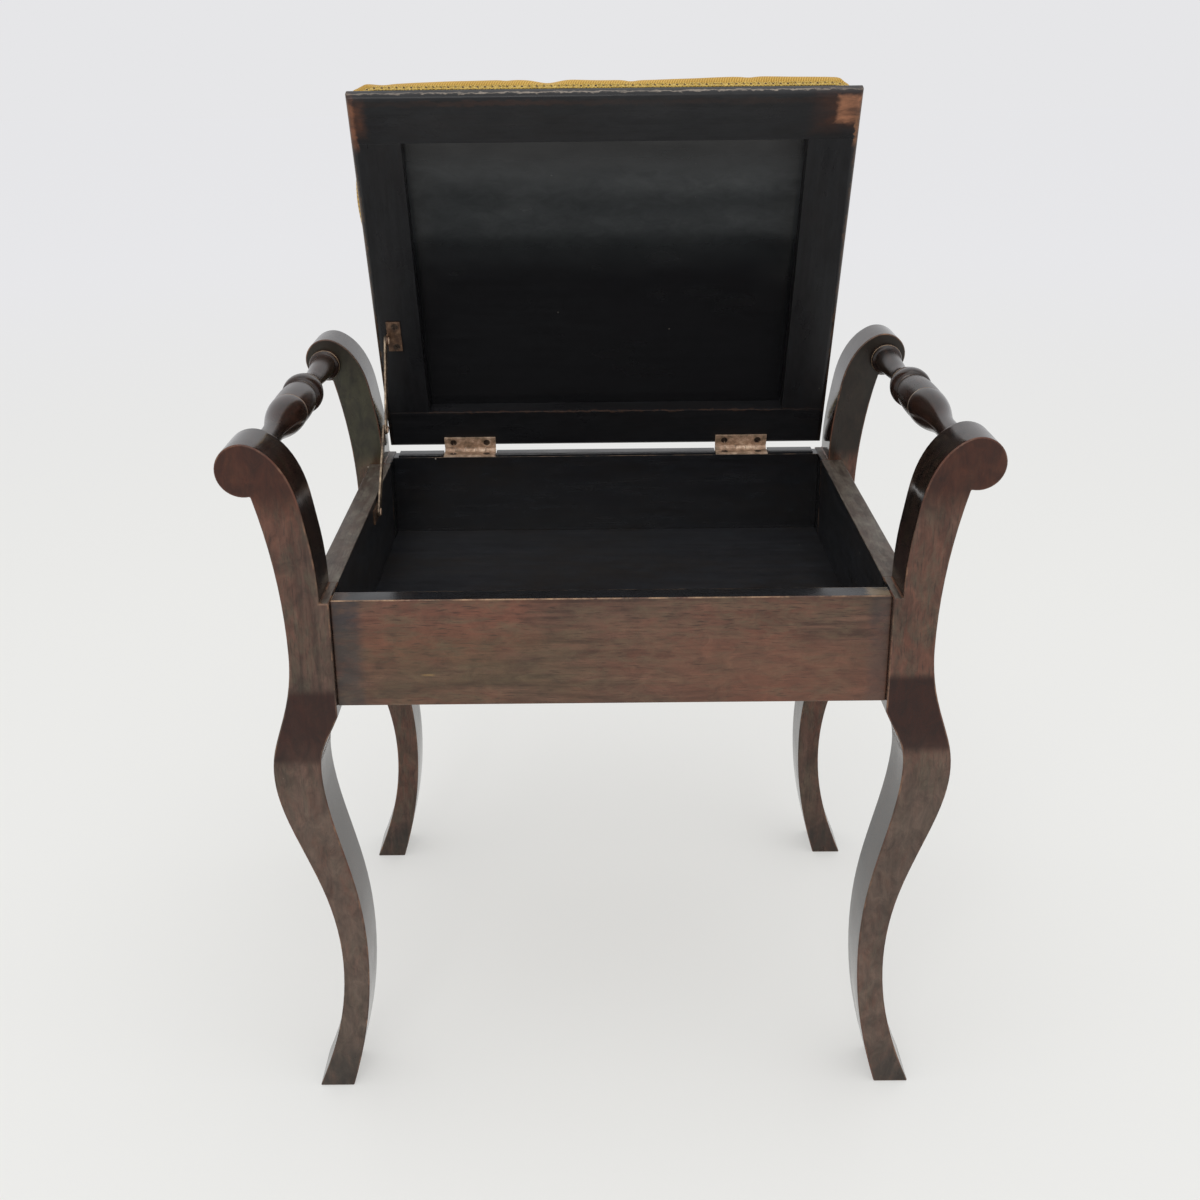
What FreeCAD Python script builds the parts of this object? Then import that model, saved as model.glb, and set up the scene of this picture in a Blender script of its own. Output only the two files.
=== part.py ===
import FreeCAD
import Part
import Sketcher
import math
import os
import re
from FreeCAD import Placement, Rotation, Vector

# Storage piano stool with an upholstered hinged lid, shown with the lid held open by its stay.
# X runs to the sitter's right, Y from the front legs to the back legs, Z up from the floor.

doc = FreeCAD.newDocument("piano_stool")
sheet = doc.addObject("Spreadsheet::Sheet", "sizes")

# Driving sizes in millimetres and degrees
driving = {
    # stool and box
    "origin_back": 201.8,
    "stool_deep": 375.0,
    "box_width": 420.0,
    "rail_top": 447.0,
    "rail_high": 88.0,
    "rail_thick": 16.5,
    "rail_recess": 6.0,
    "rail_tenon_long": 20.0,
    "rail_tenon_thick": 8.0,
    "end_rail_thick": 20.0,
    "end_tenon_long": 17.0,
    "tenon_shoulder": 12.0,
    "joint_gap": 0.1,
    "floor_thick": 6.0,
    "floor_rise": 4.3,
    "floor_groove": 5.0,
    # leg outline, outward from the post's inner face
    "leg_thick": 42.0,
    "post_wide": 33.5,
    "post_turn_rise": 46.0,
    "post_curve_rise": 6.0,
    "post_end_drop": 7.0,
    "hip_drop": 26.0,
    "hip_in": 8.4,
    "knee_drop": 39.0,
    "knee_out": 59.4,
    "knee_in": 19.4,
    "calf_drop": 99.0,
    "calf_out": 48.6,
    "calf_in": 12.2,
    "shin_height": 190.0,
    "shin_out": 17.0,
    "shin_in": -8.0,
    "ankle_height": 110.0,
    "ankle_out": 7.0,
    "ankle_in": -12.0,
    "instep_height": 45.0,
    "instep_out": 20.7,
    "instep_in": -2.6,
    "foot_out": 39.4,
    "foot_in": 10.8,
    # leg top: neck and scroll
    "neck_in": 7.0,
    "neck_rise": 28.0,
    "nape_rise": 63.0,
    "nape_in": 13.7,
    "throat_rise": 93.0,
    "throat_in": 18.0,
    "scroll_out": 54.75,
    "scroll_rise": 104.45,
    "scroll_radius": 20.2,
    "scroll_notch": 258.0,
    "scroll_crest": 115.0,
    "crest_lead": 14.0,
    # turned handles
    "handle_out": 56.3,
    "handle_rise": 100.8,
    "handle_tenon_long": 14.0,
    "handle_tenon_radius": 7.0,
    "handle_collar_long": 6.0,
    "handle_collar_radius": 14.5,
    "handle_bead_long": 3.5,
    "handle_throat_radius": 11.6,
    "handle_neck_curve": 297.0,
    "handle_far_waist": 78.0,
    "handle_far_waist_radius": 8.0,
    "handle_ring_foot": 64.0,
    "handle_ring_foot_radius": 11.5,
    "handle_ring_curve": 48.0,
    "handle_shoulder_radius": 15.2,
    "handle_barrel_far": 28.0,
    "handle_barrel_near": 20.0,
    "handle_barrel_radius": 16.2,
    "handle_vase_foot": 56.0,
    "handle_vase_foot_radius": 12.4,
    "handle_vase_curve": 100.0,
    "handle_taper_curve": 130.0,
    "handle_near_waist": 82.0,
    "handle_near_waist_radius": 8.8,
    # lid frame and panel
    "lid_open": 69.5,
    "lid_side_gap": 2.0,
    "lid_deep": 368.0,
    "lid_thick": 15.0,
    "lid_member": 42.5,
    "lid_tenon_long": 12.0,
    "lid_tenon_thick": 5.0,
    "lid_nose": 5.5,
    "panel_inset": 8.0,
    "panel_thick": 5.0,
    "panel_round": 20.0,
    # seat pad, insets from the lid's edge and rises from the lid's top
    "cover_thick": 1.6,
    "pad_round": 24.0,
    "pad_high": 38.0,
    "pad_base_inset": 4.0,
    "pad_bulge_inset": 0.8,
    "pad_shoulder_inset": 8.0,
    "pad_shoulder_rise": 25.0,
    "pad_top_inset": 110.0,
    "pad_crown_spread": 1.2,
    "pad_crown_fullness": 2.2,
    # butt hinges
    "lid_gap": 3.6,
    "hinge_inset": 75.25,
    "hinge_long": 50.8,
    "hinge_clear": 0.4,
    "leaf_thick": 1.6,
    "leaf_wide": 15.6,
    "barrel_radius": 3.2,
    "hinge_pin_radius": 1.4,
    "hinge_pin_fit": 0.05,
    "pin_inset": 0.5,
    # countersunk screw holes
    "sink_radius": 3.4,
    "screw_radius": 1.5,
    "hinge_screw_spread": 33.0,
    "hinge_screw_back": 9.8,
    # folding stay on the left
    "stay_thick": 1.8,
    "stay_gap": 0.3,
    "stay_wide": 9.0,
    "stay_bow": 16.8,
    "stay_reach": 135.7,
    "stay_lead": 0.3,
    "stay_lid_drop": 7.3,
    "stay_box_drop": 14.4,
    "stay_pin_radius": 2.0,
    "stay_pin_fit": 0.06,
    "stay_head_radius": 3.4,
    "stay_head_high": 1.2,
    "bracket_thick": 1.5,
    "bracket_long": 32.0,
    "bracket_wide": 13.0,
    "bracket_screw_spread": 22.0,
    "bracket_screw_in": 7.8,
}
for row, (alias, number) in enumerate(driving.items(), 1):
    sheet.set(f"A{row}", alias.replace("_", " "))
    sheet.set(f"B{row}", str(number))
    sheet.setAlias(f"B{row}", alias)
doc.recompute()

pieces = []

# Derived places, written as formulas of the driving sizes
half_box = "box_width / 2"
front_face = "-origin_back"
back_face = "stool_deep - origin_back"
rail_bottom = "rail_top - rail_high"
pin_back = "stool_deep - origin_back - rail_recess - pin_inset"
pin_high = "rail_top + lid_gap / 2"
lid_half = "(box_width / 2 + neck_in - lid_side_gap)"
lid_back = "barrel_radius + hinge_clear"
lid_under = "lid_gap / 2"
lid_top = "lid_gap / 2 + lid_thick"
lid_front = f"({lid_back} + lid_deep)"
lid_middle = f"({lid_back} + lid_deep / 2)"
tenon_low = f"{rail_bottom} + tenon_shoulder"
tenon_high = "rail_top - tenon_shoulder"
floor_low = f"{rail_bottom} + floor_rise"
knuckle = "hinge_long / 5"


def linked(text):
    return re.sub(r"[a-z]\w*", lambda word: f"sizes.{word[0]}" if word[0] in driving else word[0], text)


def amount(text):
    return float(sheet.evalExpression(text))


def bind(thing, place, text):
    thing.setExpression(place, linked(text))


def at(thing, x, y, z, axis=Vector(0, 0, 1), turn="0"):
    thing.Placement = Placement(Vector(), Rotation(axis, amount(turn)))
    for letter, text in zip("xyz", (x, y, z)):
        bind(thing, f"Placement.Base.{letter}", text)
    if turn != "0":
        bind(thing, "Placement.Rotation.Angle", turn)


def on_lid(thing):
    at(thing, "0", pin_back, pin_high, Vector(-1, 0, 0), "lid_open")


def new_body(name):
    body = doc.addObject("PartDesign::Body", name)
    body.Label = name
    pieces.append(body)
    return body


def block(body, name, x, y, z, cut=False):
    feature = body.newObject("PartDesign::SubtractiveBox" if cut else "PartDesign::AdditiveBox", name)
    for side, letter, (low, high) in zip(("Length", "Width", "Height"), "xyz", (x, y, z)):
        bind(feature, side, f"({high}) - ({low})")
        bind(feature, f"Placement.Base.{letter}", low)
    return feature


rod_turns = {
    "x": Rotation(Vector(0, 1, 0), 90),
    "y": Rotation(Vector(1, 0, 0), -90),
    "z": Rotation(),
}


def rod(body, name, along, radius, start, length, cut=False):
    kind = "PartDesign::SubtractiveCylinder" if cut else "PartDesign::AdditiveCylinder"
    feature = body.newObject(kind, name)
    feature.Placement = Placement(Vector(), rod_turns[along])
    bind(feature, "Radius", radius)
    bind(feature, "Height", length)
    for letter, text in zip("xyz", start):
        bind(feature, f"Placement.Base.{letter}", text)
    return feature


def new_sketch(body, name, role, lift="0"):
    sketch = body.newObject("Sketcher::SketchObject", name)
    plane = next(part for part in body.Origin.OriginFeatures if part.Role == role)
    sketch.AttachmentSupport = [(plane, "")]
    sketch.MapMode = "FlatFace"
    bind(sketch, "AttachmentOffset.Base.z", lift)
    return sketch


def tie(sketch, geometry, end, spot):
    for kind, text in zip(("DistanceX", "DistanceY"), spot):
        number = sketch.addConstraint(Sketcher.Constraint(kind, -1, 1, geometry, end, amount(text)))
        bind(sketch, f"Constraints[{number}]", text)


def point(spot):
    return Vector(amount(spot[0]), amount(spot[1]), 0)


def spline_through_poles(sketch, spots):
    poles = [point(spot) for spot in spots]
    spans = len(poles) - 3
    curve = Part.BSplineCurve()
    counts = [4] + [1] * (spans - 1) + [4]
    curve.buildFromPolesMultsKnots(poles, counts, [k / spans for k in range(spans + 1)], False, 3)
    index = sketch.addGeometry(curve, False)
    sketch.exposeInternalGeometry(index)
    for step, spot in enumerate(spots[1:-1], 2):
        tie(sketch, index + step, 3, spot)
    return index, 1, 2


def arc_between(sketch, first, last, radius, leftward):
    # An arc from first to last that turns left or right; more than half a circle where radius is negative
    start, end = point(first), point(last)
    size = amount(radius)
    chord = end - start
    side = Vector(-chord.y, chord.x, 0).normalize()
    reach = math.sqrt(size * size - chord.Length ** 2 / 4)
    toward = 1 if leftward == (size > 0) else -1
    centre = start + chord / 2 + side * (toward * reach)
    from_end, to_end = (start, end) if leftward else (end, start)
    angles = [math.atan2(spot.y - centre.y, spot.x - centre.x) for spot in (from_end, to_end)]
    circle = Part.Circle(centre, Vector(0, 0, 1), abs(size))
    index = sketch.addGeometry(Part.ArcOfCircle(circle, angles[0], angles[1]), False)
    number = sketch.addConstraint(Sketcher.Constraint("Radius", index, abs(size)))
    bind(sketch, f"Constraints[{number}]", f"abs({radius})")
    return (index, 1, 2) if leftward else (index, 2, 1)


def draw(sketch, start, steps):
    # A closed outline: each step is a line, an arc or a spline from the last spot to its own
    drawn = []
    last = start
    for kind, *rest in steps:
        if kind == "line":
            index = sketch.addGeometry(Part.LineSegment(point(last), point(rest[0])), False)
            drawn.append((index, 1, 2, rest[0]))
            last = rest[0]
        elif kind == "arc":
            drawn.append((*arc_between(sketch, last, rest[0], rest[1], rest[2]), rest[0]))
            last = rest[0]
        else:
            drawn.append((*spline_through_poles(sketch, [last, *rest[0]]), rest[0][-1]))
            last = rest[0][-1]
    for (index, _, end, spot), (following, begin, _, _) in zip(drawn, drawn[1:] + drawn[:1]):
        sketch.addConstraint(Sketcher.Constraint("Coincident", index, end, following, begin))
        tie(sketch, index, end, spot)


def rounded(half_x, half_y, radius, middle):
    # Start and steps of a rectangle with round corners, centred on X and at middle in Y
    right, left = f"{half_x}", f"-({half_x})"
    near, far = f"{middle} - ({half_y})", f"{middle} + ({half_y})"
    steps = [
        ("line", (right, f"{far} - {radius}")),
        ("arc", (f"{right} - {radius}", far), radius, True),
        ("line", (f"{left} + {radius}", far)),
        ("arc", (left, f"{far} - {radius}"), radius, True),
        ("line", (left, f"{near} + {radius}")),
        ("arc", (f"{left} + {radius}", near), radius, True),
        ("line", (f"{right} - {radius}", near)),
        ("arc", (right, f"{near} + {radius}"), radius, True),
    ]
    return (right, f"{near} + {radius}"), steps


def pad_up(body, sketch, length, reverse=False):
    pad = body.newObject("PartDesign::Pad", f"{sketch.Name}_pad")
    pad.Profile = sketch
    pad.Reversed = reverse
    bind(pad, "Length", length)
    return pad


def round_edges(body, name, radius, chosen):
    doc.recompute()
    base = body.Tip
    edges = [f"Edge{n}" for n, edge in enumerate(base.Shape.Edges, 1) if chosen(edge)]
    fillet = body.newObject("PartDesign::Fillet", name)
    fillet.Base = (base, edges)
    bind(fillet, "Radius", radius)
    return fillet


# Legs: one fretted board each, with an S-curved lower leg, a post for the box and a scrolled neck
def on_scroll(angle, lead="0"):
    across = f"scroll_out + scroll_radius * cos({angle}) - ({lead}) * sin({angle})"
    up = f"rail_top + scroll_rise + scroll_radius * sin({angle}) + ({lead}) * cos({angle})"
    return across, up


def leg_outline(sketch):
    post_turn = f"{rail_bottom} + post_turn_rise"
    notch = on_scroll("scroll_notch")
    crest = on_scroll("scroll_crest")
    lean = f"({notch[0]} - post_wide)"
    climb = f"({notch[1]} - ({post_turn}))"
    outer = [
        ("instep_out", "instep_height"),
        ("ankle_out", "ankle_height"),
        ("shin_out", "shin_height"),
        ("calf_out", f"{rail_bottom} - calf_drop"),
        ("knee_out", f"{rail_bottom} - knee_drop"),
        ("post_wide", f"{rail_bottom} + post_curve_rise"),
        ("post_wide", post_turn),
    ]
    neck = [
        on_scroll("scroll_crest", "crest_lead"),
        ("throat_in", "rail_top + throat_rise"),
        ("nape_in", "rail_top + nape_rise"),
        ("neck_in", "rail_top + neck_rise"),
        ("neck_in", "rail_top"),
    ]
    inner = [
        ("hip_in", f"{rail_bottom} - hip_drop"),
        ("knee_in", f"{rail_bottom} - knee_drop"),
        ("calf_in", f"{rail_bottom} - calf_drop"),
        ("shin_in", "shin_height"),
        ("ankle_in", "ankle_height"),
        ("instep_in", "instep_height"),
        ("foot_in", "0"),
    ]
    draw(sketch, ("foot_in", "0"), [
        ("line", ("foot_out", "0")),
        ("spline", outer),
        ("arc", notch, f"({lean} ^ 2 + {climb} ^ 2) / (2 * {lean})", False),
        ("arc", crest, "-scroll_radius", True),
        ("spline", neck),
        ("line", ("0", "rail_top")),
        ("line", ("0", f"{rail_bottom} - post_end_drop")),
        ("spline", inner),
    ])


def make_leg(name, hand, side, face):
    # hand tells on which side of the outer face the board lies; side and face place it
    body = new_body(name)
    sketch = new_sketch(body, f"{name}_outline", "XZ_Plane")
    leg_outline(sketch)
    pad_up(body, sketch, "leg_thick", reverse=hand > 0)

    def across(low, high):
        return (low, high) if hand > 0 else (f"-({high})", f"-({low})")

    middle = "rail_recess + rail_thick / 2"
    reach = "rail_tenon_thick / 2 + joint_gap"
    heights = (f"{tenon_low} - joint_gap", f"{tenon_high} + joint_gap")
    block(body, f"{name}_rail_mortise", ("0", "rail_tenon_long + joint_gap"),
          across(f"{middle} - ({reach})", f"{middle} + {reach}"), heights, cut=True)
    block(body, f"{name}_end_mortise",
          (f"end_rail_thick / 2 - ({reach})", f"end_rail_thick / 2 + {reach}"),
          across("leg_thick - end_tenon_long - joint_gap", "leg_thick"), heights, cut=True)
    depth = "handle_tenon_long + joint_gap"
    start = f"leg_thick - ({depth})" if hand > 0 else "-leg_thick"
    rod(body, f"{name}_handle_hole", "y", "handle_tenon_radius + joint_gap",
        ("handle_out", start, "rail_top + handle_rise"), depth, cut=True)
    at(body, side, face, "0", turn="180" if side.startswith("-") else "0")


# Front and back rails with a tenon at each end and a groove for the floor
def make_long_rail(name, near):
    body = new_body(name)
    block(body, f"{name}_board", (f"-{half_box}", half_box), ("0", "rail_thick"), (rail_bottom, "rail_top"))
    block(body, f"{name}_tenons",
          (f"-{half_box} - rail_tenon_long", f"{half_box} + rail_tenon_long"),
          ("rail_thick / 2 - rail_tenon_thick / 2", "rail_thick / 2 + rail_tenon_thick / 2"),
          (tenon_low, tenon_high))
    groove = ("rail_thick - floor_groove", "rail_thick") if near else ("0", "floor_groove")
    block(body, f"{name}_groove", (f"-{half_box}", half_box), groove,
          (floor_low, f"{floor_low} + floor_thick"), cut=True)
    at(body, "0", f"{front_face} + rail_recess" if near else f"{back_face} - rail_recess - rail_thick", "0")
    return body


# End rails between the front and back legs
def make_end_rail(name, side):
    body = new_body(name)
    span = ("leg_thick", "stool_deep - leg_thick")
    inside = ("0", "end_rail_thick") if side > 0 else ("-end_rail_thick", "0")
    middle = f"{side} * end_rail_thick / 2"
    block(body, f"{name}_board", inside, span, (rail_bottom, "rail_top"))
    block(body, f"{name}_tenons",
          (f"{middle} - rail_tenon_thick / 2", f"{middle} + rail_tenon_thick / 2"),
          ("leg_thick - end_tenon_long", "stool_deep - leg_thick + end_tenon_long"),
          (tenon_low, tenon_high))
    groove = ("0", "floor_groove") if side > 0 else ("-floor_groove", "0")
    block(body, f"{name}_groove", groove, span, (floor_low, f"{floor_low} + floor_thick"), cut=True)
    at(body, f"{side} * {half_box}", front_face, "0")


# Floor of the box, let into the grooves and cut back round the legs
def make_floor():
    body = new_body("bottom_panel")
    wide = f"{half_box} + floor_groove - joint_gap"
    near = "rail_recess + rail_thick - floor_groove + joint_gap"
    far = f"stool_deep - ({near})"
    post = "leg_thick + joint_gap"
    block(body, "floor_board", (f"-({wide})", wide), (near, far), (floor_low, f"{floor_low} + floor_thick"))
    sides = (("left", f"-({wide})", f"-{half_box} + joint_gap"), ("right", f"{half_box} - joint_gap", wide))
    for side, low, high in sides:
        for end, start, stop in (("front", near, post), ("back", f"stool_deep - ({post})", far)):
            block(body, f"floor_notch_{side}_{end}", (low, high), (start, stop),
                  (floor_low, f"{floor_low} + floor_thick"), cut=True)
    at(body, "0", front_face, "0")


# Turned handles, from back to front: collar, slim neck, ring, barrel, vase, slim neck and collar
def make_handle(name, side):
    body = new_body(name)
    sketch = new_sketch(body, f"{name}_profile", "XY_Plane")
    end = "(stool_deep / 2 - leg_thick - joint_gap)"
    tip = f"({end} + handle_tenon_long)"
    bead = f"({end} - handle_collar_long)"
    mouth = f"({bead} - handle_bead_long)"
    draw(sketch, (f"-{tip}", "0"), [
        ("line", (tip, "0")),
        ("line", (tip, "handle_tenon_radius")),
        ("line", (end, "handle_tenon_radius")),
        ("line", (end, "handle_collar_radius")),
        ("line", (bead, "handle_collar_radius")),
        ("line", (mouth, "handle_throat_radius")),
        ("arc", ("handle_far_waist", "handle_far_waist_radius"), "handle_neck_curve", False),
        ("line", ("handle_ring_foot", "handle_ring_foot_radius")),
        ("arc", ("handle_barrel_far", "handle_shoulder_radius"), "handle_ring_curve", True),
        ("line", ("handle_barrel_far", "handle_barrel_radius")),
        ("line", ("-handle_barrel_near", "handle_barrel_radius")),
        ("line", ("-handle_barrel_near", "handle_shoulder_radius")),
        ("arc", ("-handle_vase_foot", "handle_vase_foot_radius"), "handle_vase_curve", True),
        ("arc", ("-handle_near_waist", "handle_near_waist_radius"), "handle_taper_curve", False),
        ("arc", (f"-{mouth}", "handle_throat_radius"), "handle_neck_curve", False),
        ("line", (f"-{bead}", "handle_collar_radius")),
        ("line", (f"-{end}", "handle_collar_radius")),
        ("line", (f"-{end}", "handle_tenon_radius")),
        ("line", (f"-{tip}", "handle_tenon_radius")),
        ("line", (f"-{tip}", "0")),
    ])
    turned = body.newObject("PartDesign::Revolution", f"{name}_turned")
    turned.Profile = sketch
    turned.ReferenceAxis = (sketch, ["H_Axis"])
    turned.Angle = 360
    at(body, f"{side} * ({half_box} + handle_out)", "stool_deep / 2 - origin_back", "rail_top + handle_rise",
       turn="90")


# Lid frame: front and rear rails run through, stiles are tongued between them
def lid_depths(near_back):
    if near_back:
        return f"-({lid_back} + lid_member)", f"-({lid_back})"
    return f"-{lid_front}", f"-({lid_front} - lid_member)"


tongue_low = "lid_gap / 2 + lid_thick / 2 - lid_tenon_thick / 2"
tongue_high = "lid_gap / 2 + lid_thick / 2 + lid_tenon_thick / 2"
tongue_in = f"{lid_half} - lid_member"
tongue_clear = "lid_member / 6"


def lid_edge(edge, x=None, y=None):
    # Whether an edge of the lid lies along its outer side at x or at y
    box = edge.BoundBox
    flat_x = x is not None and abs(box.XMin - x) < 0.01 and abs(box.XMax - x) < 0.01
    flat_y = y is not None and abs(box.YMin - y) < 0.01 and abs(box.YMax - y) < 0.01
    return (flat_x or flat_y) and box.ZLength < 0.01


def make_lid_rail(name, near_back):
    body = new_body(name)
    low, high = lid_depths(near_back)
    block(body, f"{name}_board", (f"-{lid_half}", lid_half), (low, high), (lid_under, lid_top))
    slot_deep = "lid_tenon_long + joint_gap"
    slot = (low, f"{low} + {slot_deep}") if near_back else (f"{high} - ({slot_deep})", high)
    outer = amount(high if near_back else low)
    half = amount(lid_half)
    round_edges(body, f"{name}_nose", "lid_nose",
                lambda edge: lid_edge(edge, half) or lid_edge(edge, -half) or lid_edge(edge, y=outer))
    for side, sign in (("left", "-1"), ("right", "1")):
        ends = sorted((f"{sign} * ({tongue_in} + {tongue_clear} - joint_gap)",
                       f"{sign} * ({lid_half} - {tongue_clear} + joint_gap)"), key=amount)
        block(body, f"{name}_{side}_mortise", ends, slot,
              (f"{tongue_low} - joint_gap", f"{tongue_high} + joint_gap"), cut=True)
    on_lid(body)


def make_lid_stile(name, sign):
    body = new_body(name)
    low = lid_depths(False)[1]
    high = lid_depths(True)[0]
    span = sorted((f"{sign} * {lid_half}", f"{sign} * ({tongue_in})"), key=amount)
    block(body, f"{name}_board", span, (low, high), (lid_under, lid_top))
    outer = amount(f"{sign} * {lid_half}")
    round_edges(body, f"{name}_nose", "lid_nose", lambda edge: lid_edge(edge, outer))
    tongue = sorted((f"{sign} * ({tongue_in} + {tongue_clear})",
                     f"{sign} * ({lid_half} - {tongue_clear})"), key=amount)
    block(body, f"{name}_tongues", tongue, (f"{low} - lid_tenon_long", f"{high} + lid_tenon_long"),
          (tongue_low, tongue_high))
    on_lid(body)


def make_lid_panel():
    body = new_body("lid_panel")
    sketch = new_sketch(body, "lid_panel_outline", "XY_Plane", lid_top)
    start, steps = rounded(f"{lid_half} - panel_inset", "lid_deep / 2 - panel_inset",
                           "panel_round", f"-{lid_middle}")
    draw(sketch, start, steps)
    pad_up(body, sketch, "panel_thick")
    on_lid(body)


# Seat pad: stuffing with a full crown and drawn-in sides, inside a fabric cover
pad_levels = []
side_steps = 3
crown_steps = 4
for step in range(side_steps):
    part = f"({step} / {side_steps})"
    low = f"pad_base_inset * (1 - {part}) * (1 - 2 * {part})"
    middle = f"pad_bulge_inset * 4 * {part} * (1 - {part})"
    high = f"pad_shoulder_inset * {part} * (2 * {part} - 1)"
    pad_levels.append((f"side_{step}", f"{low} + {middle} + {high}", f"pad_shoulder_rise * {part}"))
for step in range(crown_steps + 1):
    part = f"({step} / {crown_steps})"
    spread = f"(pad_top_inset - pad_shoulder_inset) * {part} ^ pad_crown_spread"
    climb = f"(pad_high - pad_shoulder_rise) * (1 - (1 - {part}) ^ pad_crown_fullness)"
    pad_levels.append((f"crown_{step}", f"pad_shoulder_inset + {spread}", f"pad_shoulder_rise + {climb}"))


def pillow(body, name, kind, skin):
    # A loft through round-cornered outlines, drawn in all over by the thickness called skin
    sections = []
    for level, inset, rise in pad_levels:
        lift = f"{lid_top} + ({rise}) * (1 - {skin} / pad_high)"
        sketch = new_sketch(body, f"{name}_{level}", "XY_Plane", lift)
        start, steps = rounded(f"{lid_half} - ({inset}) - {skin}", f"lid_deep / 2 - ({inset}) - {skin}",
                               "pad_round", f"-{lid_middle}")
        draw(sketch, start, steps)
        sections.append(sketch)
    loft = body.newObject(kind, f"{name}_loft")
    loft.Profile = sections[0]
    loft.Sections = sections[1:]
    loft.Ruled = True
    return loft


def make_seat():
    cover = new_body("seat_cover")
    pillow(cover, "cover_outside", "PartDesign::AdditiveLoft", "0")
    pillow(cover, "cover_inside", "PartDesign::SubtractiveLoft", "cover_thick")
    on_lid(cover)
    filling = new_body("seat_filling")
    pillow(filling, "filling", "PartDesign::AdditiveLoft", "cover_thick")
    block(filling, "filling_seat", (f"-{lid_half}", lid_half), (f"-{lid_front}", f"-({lid_back})"),
          (lid_top, f"{lid_top} + panel_thick"), cut=True)
    on_lid(filling)


# Butt hinges: a leaf on the rail with three knuckles, a leaf on the lid with two, and the pin
hinge_places = (("left", f"-({half_box} - hinge_inset)"), ("right", f"({half_box} - hinge_inset)"))
screw_offsets = ("-hinge_screw_spread / 2", "hinge_screw_spread / 2")


# Which way a countersunk hole narrows: up into the lid, down into the rail, sideways into the wall
sink_turns = {
    "lid": Rotation(),
    "rail": Rotation(Vector(1, 0, 0), 180),
    "wall": Rotation(Vector(0, 1, 0), -90),
}


def screw_hole(body, name, into, spot, thick):
    # Countersunk hole right through a plate, with the middle of its wide end at spot
    cone = body.newObject("PartDesign::SubtractiveCone", name)
    cone.Placement = Placement(Vector(), sink_turns[into])
    bind(cone, "Radius1", "sink_radius")
    bind(cone, "Radius2", "screw_radius")
    bind(cone, "Height", thick)
    for letter, text in zip("xyz", spot):
        bind(cone, f"Placement.Base.{letter}", text)


def make_leaf(name, x, lid_side):
    body = new_body(name)
    low, high = "-lid_gap / 2", "leaf_thick - lid_gap / 2"
    if lid_side:
        low, high = "lid_gap / 2 - leaf_thick", "lid_gap / 2"
    edge = "-(barrel_radius + hinge_clear)"
    half = "hinge_long / 2"
    block(body, f"{name}_plate", (f"{x} - {half}", f"{x} + {half}"), ("-leaf_wide", edge), (low, high))
    for turn in (1, 3) if lid_side else (0, 2, 4):
        start = f"{x} - {half} + {turn} * {knuckle} + hinge_clear / 2"
        block(body, f"{name}_arm_{turn}", (start, f"{start} + {knuckle} - hinge_clear"), (edge, "0"),
              (low, high))
        rod(body, f"{name}_knuckle_{turn}", "x", "barrel_radius", (start, "0", "0"),
            f"{knuckle} - hinge_clear")
    rod(body, f"{name}_bore", "x", "hinge_pin_radius + hinge_pin_fit", (f"{x} - {half}", "0", "0"),
        "hinge_long", cut=True)
    for number, offset in enumerate(screw_offsets):
        spot = (f"{x} + {offset}", "-hinge_screw_back", low if lid_side else high)
        screw_hole(body, f"{name}_screw_{number}", "lid" if lid_side else "rail", spot, "leaf_thick")
    if lid_side:
        on_lid(body)
    else:
        at(body, "0", pin_back, pin_high)


def make_hinge_pin(name, x):
    body = new_body(name)
    rod(body, f"{name}_wire", "x", "hinge_pin_radius", (f"{x} - hinge_long / 2", "0", "0"), "hinge_long")
    at(body, "0", pin_back, pin_high)


# Folding stay: a bracket on the left end rail, two flat arms and a bracket under the lid's left stile
stay_wall = f"-{half_box} + bracket_thick"
lower_start = f"{stay_wall} + stay_gap"
upper_start = f"{lower_start} + stay_thick + stay_gap"
ear_start = f"{upper_start} + stay_thick + stay_gap"
lid_pivot = ("-stay_reach", "lid_gap / 2 - stay_lid_drop")
box_pivot = ("-stay_reach - stay_lead", "-stay_box_drop")
lid_pivot_back = f"({lid_pivot[1]}) * sin(lid_open) - stay_reach * cos(lid_open)"
lid_pivot_up = f"({lid_pivot[1]}) * cos(lid_open) + stay_reach * sin(lid_open)"
half_span = f"(({lid_pivot_back} - ({box_pivot[0]})) ^ 2 + ({lid_pivot_up} - ({box_pivot[1]})) ^ 2) / 4"
stay_arm = f"sqrt({half_span} + stay_bow ^ 2)"
bracket_offsets = ("-bracket_screw_spread / 2", "bracket_screw_spread / 2")


def elbow_place():
    # The elbow stands off the middle of the line between the open pivots, on the side of the hinge
    upper = amount(lid_pivot_back), amount(lid_pivot_up)
    lower = amount(box_pivot[0]), amount(box_pivot[1])
    across, up = upper[0] - lower[0], upper[1] - lower[1]
    apart = math.hypot(across, up)
    bow = amount("stay_bow")
    return lower[0] + across / 2 + bow * up / apart, lower[1] + up / 2 - bow * across / apart


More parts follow.
